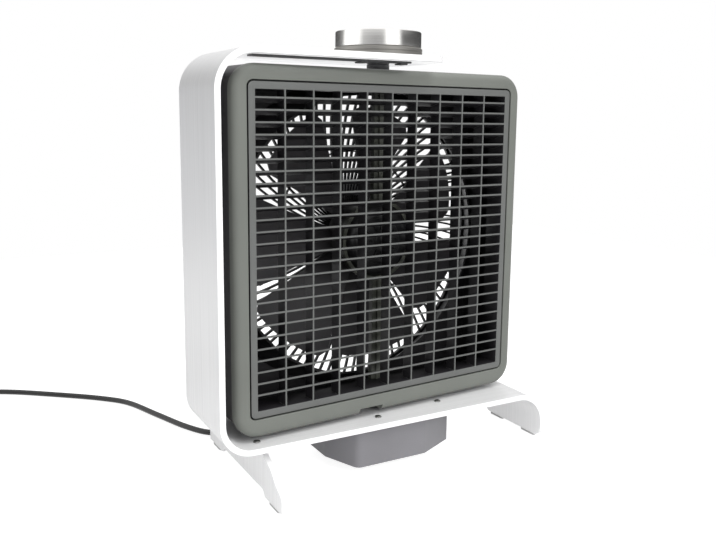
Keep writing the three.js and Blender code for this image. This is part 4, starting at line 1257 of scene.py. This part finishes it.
# %% Shell
unmoved = Matrix.Identity(4)
shell = placed(
    "shell", plain_copy("rear_shell"), unmoved, shell_look,
    "fan_head", "rear_shell", sharp=28,
)
soften(shell, 0.8, segments=3, degrees=50)

# %% [markdown]
# ## Outlet
# The back of the box is open where the air leaves, behind a ring of fine ribs that lean
# round from a middle boss to a rim. The third tree draws the ribs. Rim, boss and the
# hoop that stiffens the ribs half way out are turned, and all four become one piece.

# %% Outlet
outlet_radius, shell_rear = 171.7, 60.0
rim_front, rib_front = 55.0, 55.3
ribs = grown("ribs", rib_tree, {
    "Count": 88, "Inner Radius": 23.0, "Outer Radius": outlet_radius - 2.0,
    "Lean": math.radians(-14), "Width": 2.2, "Depth": 3.4, "Middle": shell_rear - 3.2,
    "Material": shell_look,
})
rim = turned([
    (168.6, 55.6), (169.2, rim_front), (outlet_radius, rim_front), (outlet_radius, 59.4),
    (171.1, shell_rear), (169.2, shell_rear), (168.6, 59.4), (168.6, 55.6),
], "Y", 144)
boss = turned([
    (0, rim_front), (23.4, rim_front), (24.0, 55.6), (24.0, 58.2), (23.2, 59.0),
    (20.0, 59.0), (19.4, 58.4), (0, 58.4),
], "Y", 72)
hoop = turned([
    (93.0, rib_front), (94.6, rib_front), (94.6, 58.2), (93.0, 58.2), (93.0, rib_front),
], "Y", 96)
outlet = placed(
    "outlet_grille", joined([ribs, rim, boss, hoop]), fan_place, shell_look,
    "fan_head", "rear_grille", sharp=30,
)
soften(outlet, 0.2, segments=1, degrees=60)

# %% [markdown]
# ## Rotor
# Seven broad blades stand round a deep hub. One blade is a twisted, slightly cambered
# sheet: its front edge lies near the motor and its rear edge near the outlet. The
# sheet is drawn once as a grid with a real thickness and softly rounded tip corners,
# and the tree repeats it round the axis. Seen from the front, light shows through the
# gaps between the blades, so their angle and width matter more than their surface.

# %% One blade
blade_count = 7
blade_tip, hub_radius = 143.0, 33.0
blade_root = hub_radius - 2
first_gap = math.radians(50)
root_span, tip_gain = 35, 6  # degrees that a blade covers at the hub, and more at the tip
blade_rear, blade_rise = 51, 24  # its rear edge, and how far its front edge is before that
corner_share, corner_pull = 0.16, 9.0


def blade_mesh(rows=16, columns=14, thick=2.0):
    """Grid of the blade's front, the same grid a thickness behind it, and the rim."""
    middle = math.radians(360 / blade_count / 2)
    front = []
    for i in range(rows + 1):
        share = i / rows
        for j in range(columns + 1):
            across = j / columns
            span = math.radians(root_span + tip_gain * share)
            corner = min(across, 1 - across) / corner_share
            pulled_in = corner_pull * (1 - math.sqrt(1 - (1 - min(corner, 1)) ** 2))
            radius = blade_root + ((blade_tip - pulled_in) - blade_root) * share
            angle = middle + (across - 0.5) * span
            camber = 2 * math.sin(math.pi * across) * across
            depth = blade_rear - blade_rise * across - camber
            front.append(Vector((radius * math.cos(angle), depth, radius * math.sin(angle))))
    rear = [p + Vector((0, thick, 0)) for p in front]
    width, count = columns + 1, len(front)
    faces = []
    for i in range(rows):
        for j in range(columns):
            a = i * width + j
            faces.append((a, a + width, a + width + 1, a + 1))
            faces.append((a + count, a + count + 1, a + count + width + 1, a + count + width))
    edge = list(range(columns)) + [i * width + columns for i in range(rows)]
    edge += [rows * width + j for j in range(columns, 0, -1)]
    edge += [i * width for i in range(rows, 0, -1)]
    for a, b in zip(edge, edge[1:] + edge[:1]):
        faces.append((a, b, b + count, a + count))
    return mesh_from(front + rear, faces)


one_blade = blade_mesh()
print("one blade has", len(one_blade.polygons), "faces")

# %% Rotor
blades = grown("blades", ring_tree, {
    "Count": blade_count, "First Angle": first_gap, "Material": rotor_look,
}, one_blade)
hub_front, hub_rear, hub_bore = 26.6, 49.0, 4.3
hub = turned([
    (hub_bore, hub_front), (29.0, hub_front), (31.4, 27.2), (32.6, 28.4), (hub_radius, 30.2),
    (hub_radius, 48.4), (32.4, hub_rear), (hub_bore, hub_rear), (hub_bore, hub_front),
], "Y", 96)
placed(
    "rotor_blades", joined([blades, hub]), fan_place, rotor_look,
    "rotor", "fan_blades", sharp=35,
)

# %% [markdown]
# ## Motor on its strut
# The motor is a short round can in front of the blades. A turned profile gives it
# rolled edges, a raised rib and the bearing boss in the middle. A ring of cooling slots
# is cut into its face, and the second tree makes the twelve cutters from one.

# %% Motor
can = turned([
    (0.0, -10.6), (6.0, -10.6), (7.0, -10.0), (7.4, -9.0), (24.0, -9.0), (24.6, -8.5),
    (26.0, -8.5), (26.6, -9.0), (33.0, -9.0), (36.0, -8.2), (38.4, -6.2), (39.6, -3.4),
    (40.0, -2.0), (40.0, 21.0), (39.4, 22.6), (37.0, 24.0), (4.3, 24.0), (4.3, -1.0),
    (0.0, -1.0),
], "Y", 96)
motor = placed(
    "motor_can", can, fan_place, motor_look,
    "fan_head", "motor_housing", sharp=30,
)
slot_count = 12
slot_outline = rounded([(11, -1.1, 1), (21, -1.1, 1), (21, 1.1, 1), (11, 1.1, 1)], 3)
slots = grown("slots", ring_tree, {
    "Count": slot_count, "First Angle": 0.0, "Material": motor_look,
}, prism(slot_outline, -12, -7.2, "Y"))
slots.transform(fan_place)
cut_away(motor, slots)

# %% [markdown]
# ## Strut
# A ring clamps the motor, and two arms hold it, one up and one down. A thin stiffener
# runs along the front of each arm, which the real one shows as two lines of light
# behind the slats. That light is also painted: the strut's colour is paler than its
# plastic, standing in for the light that falls on it between the slats. The ring is
# turned and the rest is plain blocks.

# %% Strut
strut_length = 162.4
clamp = turned([
    (40.3, -4.0), (44.0, -4.0), (44.5, -3.5), (44.5, 2.5), (44.0, 3.0), (40.3, 3.0),
    (40.3, -4.0),
], "Y", 96)
arms = []
for low, high in ((-strut_length, -44.0), (44.0, strut_length)):
    arms.append(block(6, -4, 3, low, high))
    arms.append(block(1.1, -6.4, -3.6, low, high))
strut = placed(
    "motor_bracket", joined([clamp] + arms), fan_place, strut_painted_light_look,
    "fan_head", "motor_strut", sharp=30,
)
soften(strut, 0.5, segments=2, degrees=50)

# %% [markdown]
# ## Collars
# A short black sleeve with rounded rims stands round each pivot pin, over and under
# the box. Its two heights are read from the plain solid that it replaces.

# %% Collars
bore, face, rim_out, rim_round = 5.3, 11.3, 12.0, 0.7
for name, node in (("upper_sleeve", "top_collar"), ("lower_sleeve", "lower_collar")):
    low, high = (corner.z / mm - pivot.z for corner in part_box(node))
    sleeve = turned([
        (bore, low), (face, low), (rim_out, low + rim_round), (rim_out, high - rim_round),
        (face, high), (bore, high), (bore, low),
    ], sides=64)
    placed(name, sleeve, fan_place, black_look, "fan_head", node)

# %% [markdown]
# ## Base housing
# The housing under the plate is an angular tub of textured grey plastic: narrow in
# front, chamfered on the right, flat at the back. A copy of its plain solid is merged
# and its edges get a real moulding radius, which is what catches the light.

# %% Housing
housing = placed(
    "drive_housing", plain_copy("base_housing"), unmoved, housing_look,
    "stand", "base_housing", sharp=28,
)
soften(housing, 0.9, segments=3, degrees=30)

# %% [markdown]
# ## Screws
# The stand has six small cross-head screws and the back of the box four. One head is
# turned with a domed top, a cross recess is cut in it, and the head is set at each
# place with its own slight turn, since no two screws stop at the same angle.

# %% One screw
recess_half, recess_wide, recess_low, recess_high = 1.9, 0.35, 0.7, 2.0
screw_holder = added("screw", turned([
    (0, -12), (2.0, -12), (2.0, 0), (3.6, 0), (3.6, 0.5), (3.3, 1.0), (2.5, 1.45),
    (1.3, 1.62), (0, 1.66),
], sides=40))
for half_x, half_y in ((recess_half, recess_wide), (recess_wide, recess_half)):
    cut_away(screw_holder, block(half_x, -half_y, half_y, recess_low, recess_high))
cross_head = screw_holder.data
bpy.data.objects.remove(screw_holder)

# %% All screws
screw_turns = (12, 48, 77, 25, 61, 5)
base_seat, shell_seat = -189.2, shell_rear - 1.7
base_nodes = (
    "left_foot_screw_front", "left_foot_screw_rear", "housing_screw_front_left",
    "housing_screw_front_right", "housing_screw_rear_left", "housing_screw_rear_right",
)
shell_corners = ((-162, -172), (162, -172), (162, 172), (-162, 172))


def set_screw(node, body, place, seat, degrees):
    """Sets a copy of the screw at its seat, turned about its own axis."""
    spot = place @ seat @ Matrix.Rotation(math.radians(degrees), 4, "Z")
    placed("head_" + node, cross_head.copy(), spot, steel_look, body, node, sharp=30)


for (x, y), degrees, node in zip(base_screws, screw_turns, base_nodes):
    set_screw(node, "stand", stand_place, Matrix.Translation((x, y, base_seat)), degrees)
to_the_back = Matrix.Rotation(math.radians(-90), 4, "X")
for i, (x, z) in enumerate(shell_corners):
    seat = Matrix.Translation((x, shell_seat, z)) @ to_the_back
    set_screw(f"shell_screw_{i + 1}", "fan_head", fan_place, seat, screw_turns[i])

# %% [markdown]
# ## Strain relief
# The cord leaves the housing through a tapered rubber sleeve, ringed with grooves so
# that it bends evenly. The sleeve is turned, and a short loop adds each groove to its
# profile, a little smaller than the one before.

# %% Strain relief
groove_count, groove_step = 6, 3.2
sleeve_start, wide_end, narrow_end = 45.3, 7.5, 4.6
relief_profile = [
    (0.0, 38.2), (wide_end, 38.2), (wide_end, 42.2), (5.5, 42.2), (5.5, sleeve_start),
    (wide_end, sleeve_start),
]
for k in range(groove_count):
    y = 47.0 + groove_step * k
    radius = 7.3 - (y - sleeve_start) * (wide_end - narrow_end) / 21.7
    relief_profile += [
        (radius, y), (radius - 0.1, y + 0.9), (radius - 0.9, y + 1.2), (radius - 0.9, y + 2.0),
        (radius - 0.35, y + 2.4),
    ]
relief_profile += [
    (narrow_end, 66.4), (4.3, relief_end), (3.7, relief_end), (3.7, relief_end - 5.0),
    (0.0, relief_end - 5.0),
]
relief = turned(relief_profile, "Y", 48)
relief.transform(Matrix.Translation((exit_x, 0, exit_z)))
placed(
    "cord_sleeve", relief, stand_place, rubber_look,
    "stand", "strain_relief", sharp=35,
)

# %% [markdown]
# ## Plug
# The cord ends in a moulded plug whose sides are hollowed for the fingers. It is a loft
# of rounded boxes, one behind the other. Each is a share of the plain solid's width and
# height, so the plug fills the same box, and the pins keep their own solids.

# %% Plug
plug_shares = (  # how far along, and the share of the full width and height there
    (0.0, 0.90, 0.86), (0.03, 0.98, 0.97), (0.08, 1.0, 1.0), (0.30, 0.98, 1.0),
    (0.45, 0.90, 0.94), (0.62, 0.90, 0.92), (0.74, 0.84, 0.86), (0.86, 0.62, 0.70),
    (0.95, 0.46, 0.54), (1.0, 0.42, 0.50),
)
plug_low, plug_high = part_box("plug_body")
plug_middle = (plug_low + plug_high) / 2 / mm
plug_size = (plug_high - plug_low) / mm
plug_loops = []
for share, wide, tall in plug_shares:
    y = plug_low.y / mm + plug_size.y * share
    half_x, half_z = plug_size.x / 2 * wide, plug_size.z / 2 * tall
    outline = rounded_box(half_x, half_z, 0.45 * min(half_x, half_z), 5)
    plug_loops.append([(plug_middle.x + p.x, y, plug_middle.z + p.y) for p in outline])
placed(
    "moulded_plug", lofted(plug_loops), to_metres, black_look,
    "stand", "plug_body", sharp=50,
)

# %% [markdown]
# ## Pieces whose plain solids are right
# Pins, gears, pads, the switch and the drive motor are simple shapes that are mostly
# hidden. They keep their own solids, and only get their finish, which the material slot
# of each one names. The four foot pads are paler than the other rubber.

# %% Finish the remaining solids
looks_by_slot = {
    "brushed_aluminium": plate_look, "turned_aluminium": knob_look, "bezel_plastic": bezel_look,
    "grille_plastic": grille_look, "dark_plastic": shell_look, "motor_metal": motor_look,
    "housing_plastic": housing_look, "black_plastic": black_look, "steel": steel_look,
    "brass": brass_look, "rubber": rubber_look, "cord_pvc": cord_look, "gear_nylon": nylon_look,
}
for subpart in frame["record"]["subparts"]:
    node, slot = subpart["node"], subpart["material_slot"]
    look = pad_look if node.startswith("foot_pad") else looks_by_slot[slot]
    materials = frame["nodes"][node].data.materials
    if materials:
        materials[0] = look
    else:
        materials.append(look)

# %% [markdown]
# ## Last steps
# The Standard view shows colours as they are written.

# %% Finish
scene.view_settings.view_transform = "Standard"
